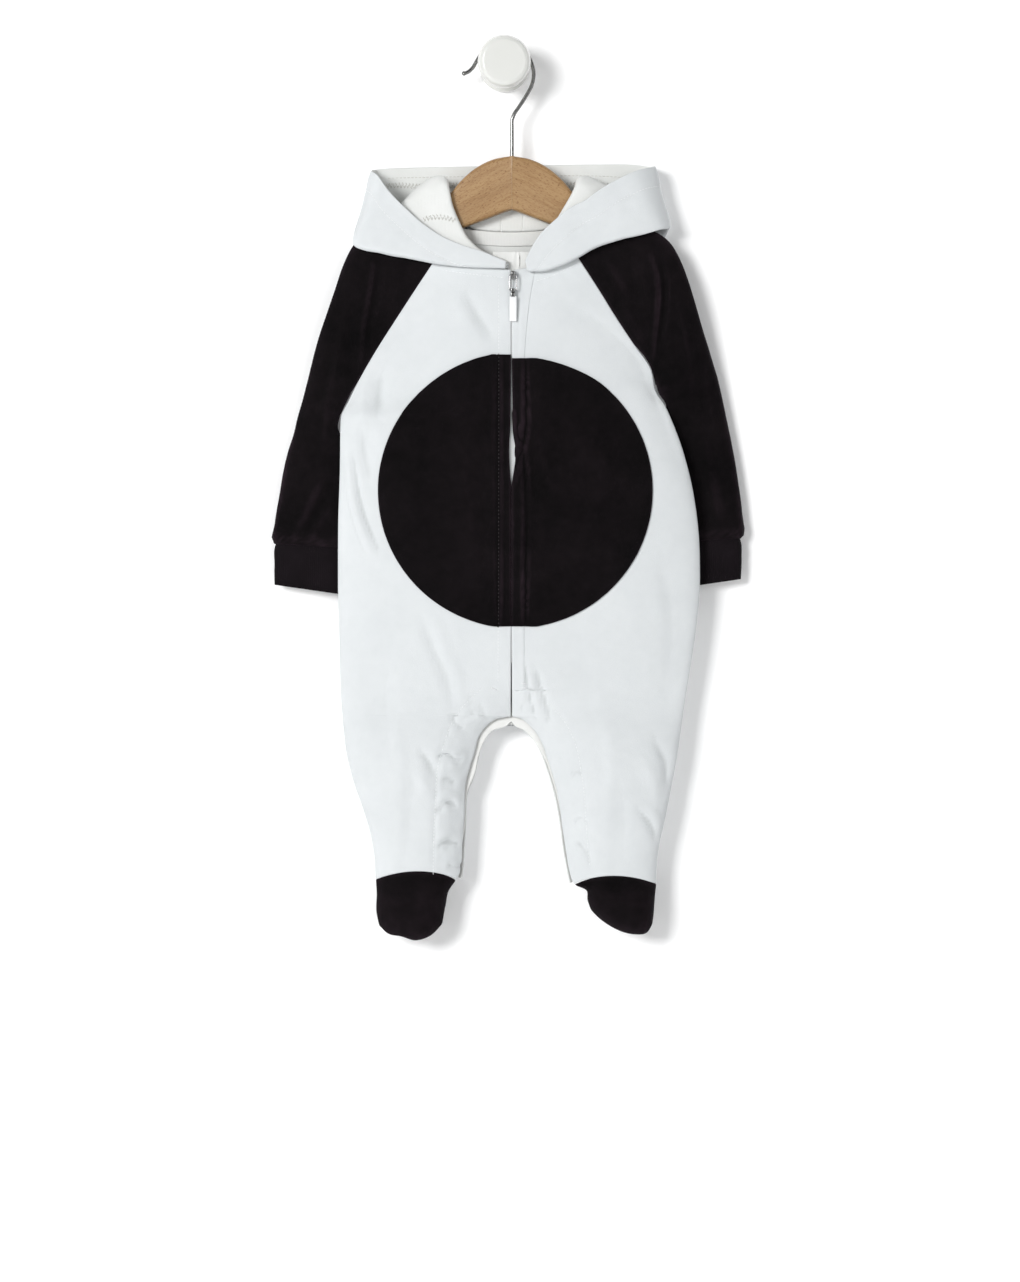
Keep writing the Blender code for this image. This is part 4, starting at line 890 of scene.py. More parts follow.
def knit(name, colour, dark, pitch, sheen=0.0, rib=0.5, axis="X", specular=0.2):
    """Fine knit or woven cloth with ribs of the given pitch."""
    made, tree, shader = node_material(name)
    where = whereabouts(tree)
    wave = add(tree, "TexWave", {"Scale": 0.314 / pitch, "Distortion": 0.6, "Detail": 1.0, "Vector": where},
               bands_direction=axis)
    grain = add_noise(tree, where, 1300.0, 2.0, 0.5)
    patches = add_noise(tree, where, 30.0, 3.0, 0.6)
    ribs = bump(tree, wave.outputs["Fac"], rib, 0.0003)
    feed(tree, shader, {"Base Color": mixed(tree, stretch(tree, patches, 0.3, 0.75), dark, colour),
                        "Roughness": 0.8, "Specular IOR Level": specular, "Sheen Weight": sheen,
                        "Normal": bump(tree, grain, 0.4, 0.0002, Normal=ribs)})
    return made


def plain(name, colour, roughness=0.5, metallic=0.0, coat=0.0):
    made, tree, shader = node_material(name)
    feed(tree, shader, {"Base Color": colour, "Roughness": roughness, "Metallic": metallic,
                        "Coat Weight": coat, "Coat Roughness": 0.08})
    return made


def beech(name, slope):
    """Beech with its grain along the arm, and the short dark flecks of this wood."""
    made, tree, shader = node_material(name)
    turned = add(tree, "Mapping", {"Rotation": (0, slope, 0), "Vector": whereabouts(tree)}).outputs["Vector"]

    def grain(along_it, across_it, detail, rough):
        scale = (along_it, across_it, across_it)
        return add_noise(tree, add(tree, "Mapping", {"Scale": scale, "Vector": turned}).outputs["Vector"],
                         1.0, detail, rough)

    broad, streaks, flecks = grain(7, 45, 4.0, 0.55), grain(60, 700, 3.0, 0.6), grain(420, 2400, 0.0, 0.5)
    colour = mixed(tree, stretch(tree, broad, 0.3, 0.72), BEECH_DARK, BEECH_LIGHT)
    colour = mixed(tree, stretch(tree, streaks, 0.45, 0.68), colour, (0.82, 0.74, 0.64), "MULTIPLY")
    colour = mixed(tree, stretch(tree, flecks, 0.60, 0.74), colour, (0.60, 0.47, 0.34), "MULTIPLY")
    feed(tree, shader, {"Base Color": colour, "Roughness": 0.45, "Coat Weight": 0.1, "Coat Roughness": 0.3,
                        "Normal": bump(tree, flecks, 0.15, 0.0002)})
    return made


BEECH_LIGHT = (0.405, 0.252, 0.112)
BEECH_DARK = (0.325, 0.190, 0.080)
BEECH_LOOK = {-1: beech("beech_left", 0.50), 1: beech("beech_right", -0.50)}
# The white velour's creases are darkened by painted shade.
WHITE_PILE = velour("white_velour", (0.625, 0.650, 0.660), (0.675, 0.698, 0.708), 0.12, (0.95, 0.97, 1.0),
                    0.25, painted_crease_shade=(0.84, 0.845, 0.84))
INSIDE = knit("cream_inside", (0.775, 0.785, 0.770), (0.715, 0.725, 0.705), 0.0011, rib=0.25)
# The black velour gets a painted highlight on its ridges and painted shade in its creases.
BLACK_PILE = velour("black_velour", (0.0008, 0.0005, 0.0007), (0.0058, 0.0040, 0.0049), 0.05,
                    (0.60, 0.46, 0.56), 0.5, specular=0.09, painted_ridge_highlight=(3.4, 3.1, 3.4), painted_crease_shade=(0.5, 0.5, 0.5))
BLACK_INSIDE = knit("black_inside", (0.016, 0.012, 0.013), (0.010, 0.008, 0.009), 0.0012)
# Looks of the outside and the inside, and the slot, of each cloth.
WHITE = ([WHITE_PILE, INSIDE], "white_velour")
BLACK = ([BLACK_PILE, BLACK_INSIDE], "black_velour")
BLACK_PATCH = ([BLACK_PILE], "black_velour")
RIB = ([knit("black_rib", (0.0085, 0.0060, 0.0078), (0.0052, 0.0036, 0.0047), 0.0016, sheen=0.02, rib=0.4,
             specular=0.07), BLACK_INSIDE], "black_rib")
CREAM = ([knit("cream_jersey", (0.775, 0.78, 0.765), (0.72, 0.725, 0.705), 0.0012, rib=0.2)], "cream_jersey")
TAPE_CLOTH = ([knit("zip_tape", (0.70, 0.71, 0.72), (0.62, 0.63, 0.64), 0.0009, rib=0.4, axis="Z")],
              "zip_tape")
THREAD = plain("white_thread", (0.83, 0.84, 0.85), 0.6)
CREAM_THREAD = plain("cream_thread", (0.60, 0.595, 0.56), 0.7)
BLACK_THREAD = plain("black_thread", (0.030, 0.024, 0.027), 0.6)
TEETH = plain("zip_teeth", (0.70, 0.71, 0.71), 0.35)
METAL = plain("bright_wire", (0.36, 0.36, 0.355), 0.16, 1.0)
WIRE_METAL = plain("hook_wire", (0.27, 0.27, 0.265), 0.14, 1.0)
ENAMEL = plain("white_tab", (0.84, 0.85, 0.85), 0.35)
LACQUER = plain("white_lacquer", (0.70, 0.705, 0.675), 0.22, coat=0.5)


# ---------------------------------------------------------------- body
def body_sheet(side, steps, heights, back=False):
    """Fine grid of the body's middle surface: a row per height, from the inner edge to the side."""
    rows = []
    top = heights[0]
    for z in heights:
        s = steps
        if not back:
            s = steps + front_start(side, z) * (1 - steps)**(1 + 6 * float(ramp(z, -380, -450)))
        if z < CROTCH_Z:
            s = kept_back(side, s, z, back)
        dip = (0 if back else NECK_DIP[side]) * (1 - s) * ramp(z, top - 70, top)
        rise = ANKLE_RISE * 4 * s * (1 - s) * ramp(z, ANKLE[side] + 50, ANKLE[side])
        rows.append(body_point(side, s, z - dip + rise, back))
    return np.array(rows)


def kept_back(side, s, z, back):
    """Shares below the crotch that leave the columns away from the inner leg edge where they were."""
    x_side = float(column(side_table(side), "x", z))
    edge = float(inner_x(side, z, back))
    moved = abs(edge - ZIP_X)
    local = min(7.0, 0.9 * abs(x_side - ZIP_X) / max(moved, 1e-3))
    x = ZIP_X + (x_side - ZIP_X) * s + (edge - ZIP_X) * (1 - s)**max(local, 1.0)
    return (x - edge) / (x_side - edge)


def heights_between(top, bottom, step, dense=()):
    marks = [top, *dense, bottom]
    fixed = np.unique(np.round(np.concatenate([np.arange(bottom, top, step), marks]), 3))[::-1]
    rim = 1.5 * np.array([0.05, 0.15, 0.32, 0.6, 1.0])
    return np.unique(np.round(np.concatenate([fixed, top - rim, bottom + rim]), 3))[::-1]


ARCH = list(np.arange(-503.0, -512.0, -0.5)) + list(np.arange(-512.0, -540.0, -1.3))


CALMED_Z = -508        # middle of the calmed stretch of the crotch, and half its height
CALMED_REACH = 26


def calmed_crotch(points, spread=7.0):
    """Evens out the depth of the cloth round the crotch, where the legs part, down each column."""
    even = np.arange(-620.0, -400.0, 0.5)
    reach = np.arange(-3 * spread, 3 * spread + 0.1, 0.5)
    weights = np.exp(-(reach / spread)**2)
    weights /= weights.sum()
    for j in range(points.shape[1]):
        z = points[:, j, 2]
        depth = np.interp(even, z[::-1], points[::-1, j, 1])
        padded = np.pad(depth, len(reach) // 2, mode="edge")
        depth = np.convolve(padded, weights, mode="valid")
        share = np.exp(-((z - CALMED_Z) / CALMED_REACH)**4) * float(ramp(j, 1, 7))
        points[:, j, 1] = points[:, j, 1] * (1 - share) + np.interp(z, even, depth) * share
    return points


def calm(points):
    """Less unevenness beside the zip, whose tape keeps the cloth flat."""
    return 0.35 + 0.65 * ramp(np.abs(points[..., 0] - ZIP_X), 8, 35)


def front_relief(points):
    x, _, z = xyz(points)
    swell = unevenness(x, 0 * x, z, 3.1) * calm(points)
    return (fold_height(FRONT_FOLDS, x, z) + fold_height(BAND_FOLDS, x, z) + fold_height(SEAM_LINES, x, z)
            + swell + band_puckers(x, z))


def band_puckers(x, z):
    """Small dents of the doubled band along the inner leg edges, with its press studs."""
    left = x < ZIP_X
    away = np.where(left, -1.0, 1.0) * (x - np.where(left, inner_x(-1, z), inner_x(1, z)))
    share = ramp(away, 0, 5) * (1 - ramp(away, 17, 25)) * ramp(-z, 478, 520) * np.where(left, 1.0, 0.55)
    dents = unevenness(x, 0 * x, z, 41.0, 11, 12, 0.95)
    for height in STUDS:
        gap = np.hypot(away - 11, z - height)
        dents = dents - 0.55 * np.exp(-(gap / 3.2)**2) + 0.35 * np.exp(-((gap - 5.5) / 2.0)**2) * left
    return dents * share


def seamed(points):
    """Share of the relief that is left beside the side seam."""
    return 0.3 + 0.7 * ramp(remaining(points, 1), 0, 9)


BODY_HALF = 125        # about half the body's width, for the count of its columns
BODY_ROW = 2.7


def build_fronts():
    even = fractions(BODY_HALF, 2.3)
    steps = np.sin(even * np.pi / 2) * 0.35 + even * 0.65
    for side, word in SIDES:
        dense = ARCH + ([STRIP_END + 0.05, STRIP_END - 0.05] if side > 0 else [])
        heights = heights_between(FRONT_TOP[side], ANKLE[side] + SEAM / 2, BODY_ROW, dense)
        points = calmed_crotch(body_sheet(side, steps, heights))
        inner = np.where((points[:, :1, 2] > STRIP_END) & (side > 0), 0.12, EDGE)
        relief = front_relief(points) * seamed(points)
        shell("front_" + word, [(points, FRONT, (EDGE, EDGE, inner, EDGE), relief)], WHITE)


def build_back():
    halves = []
    steps = fractions(BODY_HALF, 2.6)
    steps = np.concatenate([np.linspace(0, steps[5], 3)[:-1], steps[5:]])
    for side, _ in SIDES:
        ankle = ANKLE[side] + SEAM / 2
        heights = np.concatenate([
            np.linspace(BACK_TOP, -503.0, 126), np.arange(-505.0, -516.9, -0.5),
            np.arange(-517.0, -545.0, -1.4), np.arange(-545.0, ankle + 1.5, -2.8),
            ankle + 1.5 * np.array([1.0, 0.6, 0.32, 0.15, 0.05, 0.0])])
        body = calmed_crotch(body_sheet(side, steps, heights, back=True))
        points = np.concatenate([yoke_rows(side, steps, body[0])[:-1], body])
        x, _, z = xyz(points)
        inner = np.where(np.broadcast_to(z[:, :1] < CROTCH_Z - BACK_DROP - 0.1, z.shape), EDGE, 0)
        relief = fold_height(BACK_FOLDS, x, z) + unevenness(x, 0 * x, z, 9.7, height=0.7)
        relief = np.clip(relief * seamed(points), -1.6, 1.3) * ramp(-z, 128, 200)
        halves.append((points, BEHIND, (EDGE, EDGE, inner, EDGE), relief))
    shell("back", halves, WHITE)


def yoke_rows(side, steps, below):
    """Top of the back, from the neck down to the first straight row."""
    raglan = back_seam(side)
    rows = []
    for t in fractions(45, 2.6)[:-5]:
        edge = raglan(t * yoke_share(side))
        x = ZIP_X + (edge[0] - ZIP_X) * steps
        z_mid = BACK_NECK_LOW + (below[0, 2] - BACK_NECK_LOW) * t
        z = z_mid + (edge[2] - z_mid) * steps * steps
        y = column(DEPTH, "back", z) + (edge[1] - column(DEPTH, "back", z)) * steps * steps
        rows.append(np.stack([x, y, z], axis=-1))
    rows.append(below)
    return np.array(rows)


def strip_grid(side, near, far, heights, columns, dip=0.0):
    rows = []
    for z in heights:
        s = x_share(side, near(z) + (far(z) - near(z)) * columns, z)
        rows.append(body_point(side, s, z - dip * (1 - s) * ramp(z, heights[0] - 70, heights[0])))
    return np.array(rows)


def slit_edge(side):
    def edge(z):
        gape = (side > 0) * float(column(GAPE, "more", z))
        return ZIP_X + side * (float(column(SLIT, "half", z)) + 0.02) + gape
    return edge


TAPE_TOP, TAPE_END = -166.0, -466.0
TAPE_WIDE = 13
TAPE_ROW = 4.0
GUARD_TOP, GUARD_END = -146.0, -464.0
GUARD_LEFT = np.array([-9.0, -8.8, -8.0, -5.0, 0.0, 3.0])
GUARD_RIGHT = np.array([ZIP_X, 8.2, 9.4, 10.0, 10.6, 11.2, 13.0, 17.0, 19.2, 19.8, 20.0])
GUARD_PLEAT = [(-1.1, 0.6, [(518.0, 238), (517.4, 254), (516.6, 270)])]


def build_zip():
    heights = heights_between(FRONT_TOP[1], STRIP_END, 2.6)
    points = strip_grid(1, slit_edge(1), lambda z: float(column(STRIP, "x", z)) - 0.02, heights,
                        fractions(14, 1.2, 1.1), NECK_DIP[1])
    relief = front_relief(points) + 0.35 * ramp(-points[..., 2], 470, 486)
    shell("zip_strip", [(points, FRONT, (1.1, 0.3, 1.1, 0.12), relief)], WHITE)
    behind = HALF + SEAM
    heights = heights_between(TAPE_TOP, TAPE_END, TAPE_ROW)
    for side, word in SIDES:
        points = strip_grid(side, lambda z: ZIP_X + side * 0.3, lambda z: ZIP_X + side * TAPE_WIDE, heights,
                            fractions(TAPE_WIDE, 2.0, 0.8))
        shell("zip_tape_" + word, [(points, FRONT, (0.5,) * 4, front_relief(points))], TAPE_CLOTH,
              -behind, behind + 0.7)
    behind += TAPE + SEAM
    points = np.array([np.concatenate([body_point(-1, x_share(-1, GUARD_LEFT, z), z),
                                       body_point(1, x_share(1, GUARD_RIGHT, z), z)])
                       for z in heights_between(GUARD_TOP, GUARD_END, TAPE_ROW)])
    pleat = fold_height(GUARD_PLEAT, points[..., 0], points[..., 2])
    shell("zip_guard", [(points, FRONT, (0.6,) * 4, front_relief(points) + pleat)], CREAM,
          -behind, behind + TAPE)


PATCH_STEPS = fractions(100, 2.3, 1.3)**1.35      # closer beside the zip
PATCH_TOP = {-1: 0.6, 1: -2.3}                    # how much higher its upper edge runs at the zip


def build_belly():
    """The round patch, in two halves. The right one is pinched where the slit gapes."""
    for side, word in SIDES:
        rows = []
        for turn in np.radians(9 + 162 * fractions(300, 1.9, 1.2)):
            z = BELLY_Z + BELLY_R * math.cos(turn) + PATCH_TOP[side] * float(ramp(math.cos(turn), 0.75, 1))
            near = slit_edge(side)(z)
            xs = near + (BELLY_X + side * BELLY_R * math.sin(turn) - near) * PATCH_STEPS
            rows.append(body_point(side, x_share(side, xs, z), np.full(len(xs), z)))
        points = np.array(rows)
        x, _, z = xyz(points)
        rim = np.minimum(np.minimum(travelled(points, 0), remaining(points, 0)), remaining(points, 1))
        own = fold_height(PATCH_FOLDS[side], x, z) + unevenness(x, 0 * x, z, 51.0, 26, 60, 0.35)
        shell("belly_" + word, [(points, FRONT, (0.9,) * 4, front_relief(points) + own * ramp(rim, 0, 5))],
              BLACK_PATCH, ON_FRONT + PATCH, -ON_FRONT + 0.35)


BAND_HEIGHTS = (-620, -602, -584, -566, -550, -536, -525, -518, -514)
BAND_STEPS = 150
BAND_WIDE = 16
BAND_Y = -24.0
BAND_MIDDLE = -511.2   # height of the band's lower edge between the legs


def build_leg_band():
    left, right = ([(float(inner_x(side, z, back=True)), z) for z in BAND_HEIGHTS] for side, _ in SIDES)
    path = along(left + [(ZIP_X, BAND_MIDDLE)] + right[::-1], BAND_STEPS)
    run = np.gradient(path, axis=0)
    run /= np.linalg.norm(run, axis=1)[:, None]
    across = np.stack([-run[:, 1], run[:, 0]], axis=1)
    wide = fractions(BAND_WIDE, 1.6, 1.1) * BAND_WIDE
    share = np.linspace(0, 1, BAND_STEPS)
    inward = 2.6 * ramp(np.abs(share - 0.5), 0.36, 0.5) + 1.6 * ramp(share, 0.6, 0.7) + 0.2
    grid = np.array([[(x + dx * (w + tuck), BAND_Y, z + dz * (w + tuck)) for w in wide]
                     for (x, z), (dx, dz), tuck in zip(path, across, inward)])
    shell("leg_band", [(grid, FRONT, (0.9,) * 4, unevenness(*xyz(grid), 5.5, 16, 22, 0.35))], CREAM, 0.6, 0.6)


NECK_TAPE_LEFT = -34.0
NECK_TAPE_Z = -129.8
NECK_TAPE_WIDE = 11


def build_neck_tape():
    right = BACK_NECK[1][0]
    xs = np.linspace(NECK_TAPE_LEFT, right - 4, 66)
    spread = np.abs(xs - ZIP_X) / (right - ZIP_X)
    depth = BACK_Y + 0.5 * ramp(-xs, 22, 27)
    points = np.array([np.stack([xs, depth, NECK_TAPE_Z + 2.4 * spread**2 - NECK_TAPE_WIDE * drop], axis=-1)
                       for drop in fractions(NECK_TAPE_WIDE, 1.0, 0.9)])
    shell("neck_tape", [(points, FRONT, (0.6,) * 4, None)], CREAM, ON_FRONT + TAPE, -ON_FRONT)


# ---------------------------------------------------------------- sleeves
TURNS = np.concatenate([[0, 0.004, 0.012, 0.028], np.linspace(0.05, 1, 26)])


def tube_row(near, far, back_near, full, pinch, belly, gap, turns=TURNS):
    """One row round the sleeve: along the front to the outer fold, then back behind it."""
    eased = (1 - np.cos(np.pi * turns)) / 2
    s = (1 - pinch) * np.sin(turns * np.pi / 2) + pinch * (0.7 * eased + 0.3 * turns)
    row = []
    for start, sign in ((near, -1), (back_near, 1)):
        half = start + (far - start) * s[:, None]
        flat = far[1] + (start[1] - far[1]) * np.power(np.clip(1 - s**full, 0, 1), 1 / full)
        tube = start[1] + (far[1] - start[1]) * s + sign * belly * dome(s, 0.5)
        half[:, 1] = (1 - pinch) * flat + pinch * tube
        half[0, 1] += sign * gap
        row.append(half)
    return np.concatenate([row[0], row[1][-2::-1]])


ARM_BELLY = 5.0        # half the thickness of a full sleeve
ARM_GAP = 0.15         # half the gap between the ends of its rows, at the inner edge


def sleeve_grid(side, shoulder, arm):
    seams = front_seam(side), back_seam(side)
    rows = []
    for share in np.linspace(0, 1, 40):
        value = {key: float(smooth(shoulder["share"], values, share, monotone=True))
                 for key, values in shoulder.items()}
        fold = np.array([value["x"], value["y"], value["z"]])
        starts = []
        for seam in seams:
            point = np.array(seam(share))
            step = (fold - point)[[0, 2]]
            point[[0, 2]] += step / np.linalg.norm(step) * (0.1 + 1.6 * float(ramp(share, 0.6, 0.95)))
            starts.append(point)
        between = (starts[0][1] + starts[1][1]) / 2
        fold[1] = between + (fold[1] - between) * value["pinch"]
        gap = float(ramp(share, 0.85, 1.0)) * ARM_GAP
        rows.append(tube_row(starts[0], fold, starts[1], value["full"], value["pinch"], ARM_BELLY, gap))
    for *spots, belly in zip(*arm.values()):
        near, far = np.array(spots).reshape(2, 3)
        rows.append(tube_row(near, far, near, 2.0, 1.0, belly, ARM_GAP))
    return refined(np.array(rows), 2.7)


def refined(rows, step):
    """More rows, on smooth curves through the given ones."""
    length = travelled(rows, 0).mean(axis=1)
    at = fractions(length[-1], step) * length[-1]
    flat = rows.reshape(len(rows), -1)
    return smooth(length, flat, at).reshape(len(at), rows.shape[1], 3)


def build_sleeves():
    arms = (LEFT_SHOULDER, LEFT_ARM), (RIGHT_SHOULDER, RIGHT_ARM)
    for (side, word), tables in zip(SIDES, arms):
        points = sleeve_grid(side, *tables)
        x, y, z = xyz(points)
        columns = points.shape[1]
        behind = (np.arange(columns) > columns // 2)[None, :]
        front, rear = (fold_height(SLEEVE_FOLDS[side, face], x, z) for face in (0, 1))
        relief = np.where(behind, rear, front)
        relief = relief + unevenness(x, y, z, 17.0 + side, 24, 60, 0.45)
        round_, to_cuff = travelled(points, 1), remaining(points, 0)
        gathers = np.sin(round_ * 1.15 + 0.8 * np.sin(round_ * 0.31))
        relief = relief + 0.35 * gathers * np.exp(-(to_cuff / 8)**2)
        relief = relief * (0.25 + 0.75 * ramp(np.minimum(round_, remaining(points, 1)), 0, 9))
        relief = np.clip(relief, -1.8, 2.2) + 1.1 * np.exp(-((to_cuff - 5) / 5)**2)
        shell("sleeve_" + word, [(points, ((side, 0, 0),), (EDGE,) * 4, relief)], BLACK)


CUFF_BELLY = 4.8       # half the thickness of a cuff
CUFF_TUCK = 2.2        # how far its first row reaches up into the sleeve


def build_cuffs():
    for side, word in SIDES:
        rows = []
        lines = list(zip(*CUFF[side].values()))
        for tucked, (in_x, in_z, out_x, out_z) in zip((1.0, 0.0, 0.0, 0.0), lines[:1] + lines):
            near = np.array([in_x + side * tucked, ARM_Y, in_z + CUFF_TUCK * tucked])
            far = np.array([out_x - side * tucked, ARM_Y, out_z + CUFF_TUCK * tucked])
            rows.append(tube_row(near, far, near, 2.0, 1.0, CUFF_BELLY - tucked, 0.0, np.linspace(0, 1, 34)))
        points = refined(np.array(rows), 2.2)
        relief = unevenness(*xyz(points), 2.2 + side, 14, 30, 0.3)
        relief = relief - 0.25 * np.exp(-((remaining(points, 0) - 2.2) / 0.9)**2)
        relief[:, -1] = relief[:, 0]
        shell("cuff_" + word, [(points, ((side, 0, 0),), (EDGE, EDGE, 0, 0), relief)], RIB)


# ---------------------------------------------------------------- feet
def foot_sheet(side, back):
    marks = FOOT[side]
    steps = fractions(60, 2.0, 1.2)
    down = fractions(42, 2.0, 1.2)
    into, out = along(marks["into"], 1, down), along(marks["out"], 1, down)
    toe = along(marks["toe"][::-1], 1, steps)
    into[0, 1] -= 0.1
    out[0, 1] -= 0.1
    ankle = into[0] + (out[0] - into[0]) * steps[:, None]
    ankle[:, 1] += ANKLE_RISE * 4 * steps * (1 - steps)
    s, t = np.meshgrid(steps, down)
    sides = (1 - s)[..., None] * into[:, None] + s[..., None] * out[:, None]
    ends = (1 - t)[..., None] * ankle[None] + t[..., None] * toe[None]
    corners = (((1 - s) * (1 - t))[..., None] * into[0] + (s * (1 - t))[..., None] * out[0]
               + ((1 - s) * t)[..., None] * into[-1] + (s * t)[..., None] * out[-1])
    flat = sides + ends - corners
    belly = dome(s, 0.5) * np.power(np.clip(1 - t**2.4, 0, 1), 0.5)
    size = FOOT_DEPTH[back] * (0.68 + 0.32 * ramp(t, 0, 0.5))
    depth = ANKLE_Y + (TOE_Y - ANKLE_Y) * t + (1 if back else -1) * (belly * size + 0.1)
    return np.stack([flat[..., 0], depth, flat[..., 1]], axis=-1)


def build_feet():
    for side, word in SIDES:
        for back, name, facing in ((False, "foot_", FRONT), (True, "sole_", BEHIND)):
            points = foot_sheet(side, back)
            relief = unevenness(*xyz(points), 8.0 + side + back, 16, 22, 0.5)
            shell(name + word, [(points, facing, (EDGE,) * 4, relief)], BLACK)


# ---------------------------------------------------------------- hood
HOOD_STEPS = np.unique(np.concatenate([np.linspace(0, 1, 7), np.linspace(1, 3, 11), np.linspace(3, 5, 12),
                                       np.linspace(5, 7, 11), np.linspace(7, 8.9, 18),
                                       9 - np.array([0.1, 0.06, 0.03, 0.014, 0.005, 0.0])]))


def hood_sheet(tab, side, first, last, count):
    grid = []
    rows = first + (last - first) * fractions(count * 2.6, 2.6, 1.2)
    for line in hood_lines(tab, side, rows):
        length = np.concatenate([[0], np.cumsum(np.linalg.norm(np.diff(line, axis=0), axis=1))])
        at = np.interp(HOOD_STEPS, np.arange(10), length)
        grid.append(np.stack([smooth(length, values, at, monotone=True) for values in line.T], axis=-1))
    return relaxed(np.array(grid), 5)


def hood_relief(points, seed):
    to_rim = remaining(points, 1)
    swell = unevenness(*xyz(points), seed, 30, 34, 0.75) * ramp(to_rim, 0, 6)
    swell = swell * (0.2 + 0.8 * ramp(travelled(points, 1), 0, 8))
    hem = -0.40 * np.exp(-((to_rim - HEM) / 0.9)**2) - 0.25 * np.exp(-((to_rim - HEM - 3) / 1.2)**2)
    return swell + hem


HOOD_FORMS = {}


def build_hood():
    tables = LEFT_HOOD, RIGHT_HOOD
    sheets = {name: (hood_sheet(tab, side, 0, HOOD_SIDE_END, 110), HOOD_FACING, 21.0 + side)
              for name, tab, (side, _) in zip(HOOD, tables, SIDES)}
    left, right = (hood_sheet(tab, side, HOOD_SIDE_END, HOOD_END, 28)
                   for tab, (side, _) in zip(tables, SIDES))
    sheets[HOOD[2]] = (relaxed(np.concatenate([left, right[-2::-1]]), 2), HOOD_BEHIND, 33.0)
    for name, (points, facing, seed) in sheets.items():
        relief = hood_relief(points, seed)
        shell(name, [(points, facing, (1.0,) * 4, relief)], WHITE, HOOD_HALF, HOOD_HALF)
        HOOD_FORMS[name] = points, facing, relief


# ---------------------------------------------------------------- stitches and teeth
def between(where, run, points):
    """The point, or direction, at a distance along a line of them."""
    return np.array([np.interp(where, run, points[:, axis]) for axis in range(3)])


# Rings of a thread bead: place along it, width and height.
BEAD = ((-0.5, 0.25, -0.30), (-0.36, 0.85, -0.05), (0.0, 1.0, 0.10), (0.36, 0.85, -0.05), (0.5, 0.25, -0.30))
BEAD_TURNS = [math.radians(turn) for turn in (0, 72, 144, 216, 288)]


def stitched(name, lines, look, length=2.0, pitch=2.7, thick=0.38, lift=0.1):
    """Stitches along lines of (point, normal), as short thread beads that dip at both ends."""
    mesh = bmesh.new()
    for line in lines:
        points, normals = (np.array(part) for part in zip(*line))
        run = np.concatenate([[0], np.cumsum(np.linalg.norm(np.diff(points, axis=0), axis=1))])
        for k, start in enumerate(np.arange(0.6, run[-1] - length, pitch)):
            centre = start + length / 2
            here = between(centre, run, points)
            ahead = between(centre + 0.8, run, points) - here
            ahead = ahead / max(np.linalg.norm(ahead), 1e-9)
            up = between(centre, run, normals)
            up = up / max(np.linalg.norm(up), 1e-9)
            aside = np.cross(ahead, up)
            ahead = ahead + aside * 0.06 * math.sin(k * 2.3)
            rings = []
            for place, wide, high in BEAD:
                spots = [here + ahead * place * length + aside * math.cos(turn) * thick / 2 * wide
                         + up * (lift + high * thick + math.sin(turn) * thick / 2 * wide)
                         for turn in BEAD_TURNS]
                rings.append([mesh.verts.new(Vector(spot) * MM) for spot in spots])
            skin(mesh, rings)
    put(name, settle(name, mesh), [look])


def on_front(side, marks, out=HALF):
    """Line of points and normals on the front's outer face, given as (x, z)."""
    def face(dx, dz):
        x, z = marks[:, 0] + dx, marks[:, 1] + dz
        inner = inner_x(side, z)
        s = np.clip((x - inner) / (column(side_table(side), "x", z) - inner), 0, 1)
        points = body_point(side, s, z)
        points[:, 1] -= front_relief(points)
        return points
    here = face(0, 0)
    normals = np.cross(face(side * 0.8, 0) - here, face(0, -0.8) - here)
    normals /= np.maximum(np.linalg.norm(normals, axis=1, keepdims=True), 1e-9)
    normals *= -np.sign(normals[:, 1:2])
    return list(zip(here + normals * out, normals))


def sampled(marks, step=2.0):
    """Points at even steps along marks in view units."""
    marks = np.array(from_view(marks))
    length = np.linalg.norm(np.diff(marks, axis=0), axis=1).sum()
    return along(marks, max(4, int(length / step)))


def struck(marks, start):
    """Points and normals where lines from the front, starting at a given depth, first meet the hood."""
    trees = []
    for name in HOOD:
        data = PIECES[name].data
        corners = [face.vertices[:] for face in data.polygons]
        trees.append(BVHTree.FromPolygons([vertex.co for vertex in data.vertices], corners))
    line = []
    for x, z in marks:
        hits = [tree.ray_cast(Vector((x, start, z)) * MM, Vector((0, 1, 0))) for tree in trees]
        hits = [hit for hit in hits if hit[0] is not None]
        if hits:
            spot, normal = min(hits, key=lambda hit: hit[3])[:2]
            line.append((np.array(spot) / MM, -np.sign(normal.y) * np.array(normal)))
    return line


def hem_line(name):
    """Line beside the hood's rim, on the outer face."""
    points, facing, relief = HOOD_FORMS[name]
    surface = points + surface_normals(points, *facing) * relief[..., None]
    normal = surface_normals(surface, *facing)
    to_rim = remaining(surface, 1)
    line = []
    for i in range(2, len(points) - 2):
        order = to_rim[i][::-1]
        out = between(HEM, order, normal[i, ::-1])
        line.append((between(HEM, order, surface[i, ::-1]) + out * HOOD_HALF, out))
    return line


INNER_HEM = trace("386,174.6 420,173.8 460,173 512,172.5 560,172 600,172.4 640,174.6")
# Overlocked edges inside the hood, and the depth from which they are looked for.
OVERLOCK = ((trace("385,179.8 420,180.2 470,179.6 540,178.6 600,179.4 634,181.4"), -12),
            (trace("423,217 435,215.6 447,216.4 458,219.4"), -60))
# Bar tacks at the foot of the zip: side, and the two ends.
TACKS = ((-1, trace("490.5,687 497,690")), (1, trace("520,683 526.5,683.5")), (1, trace("521,688 527,687")))


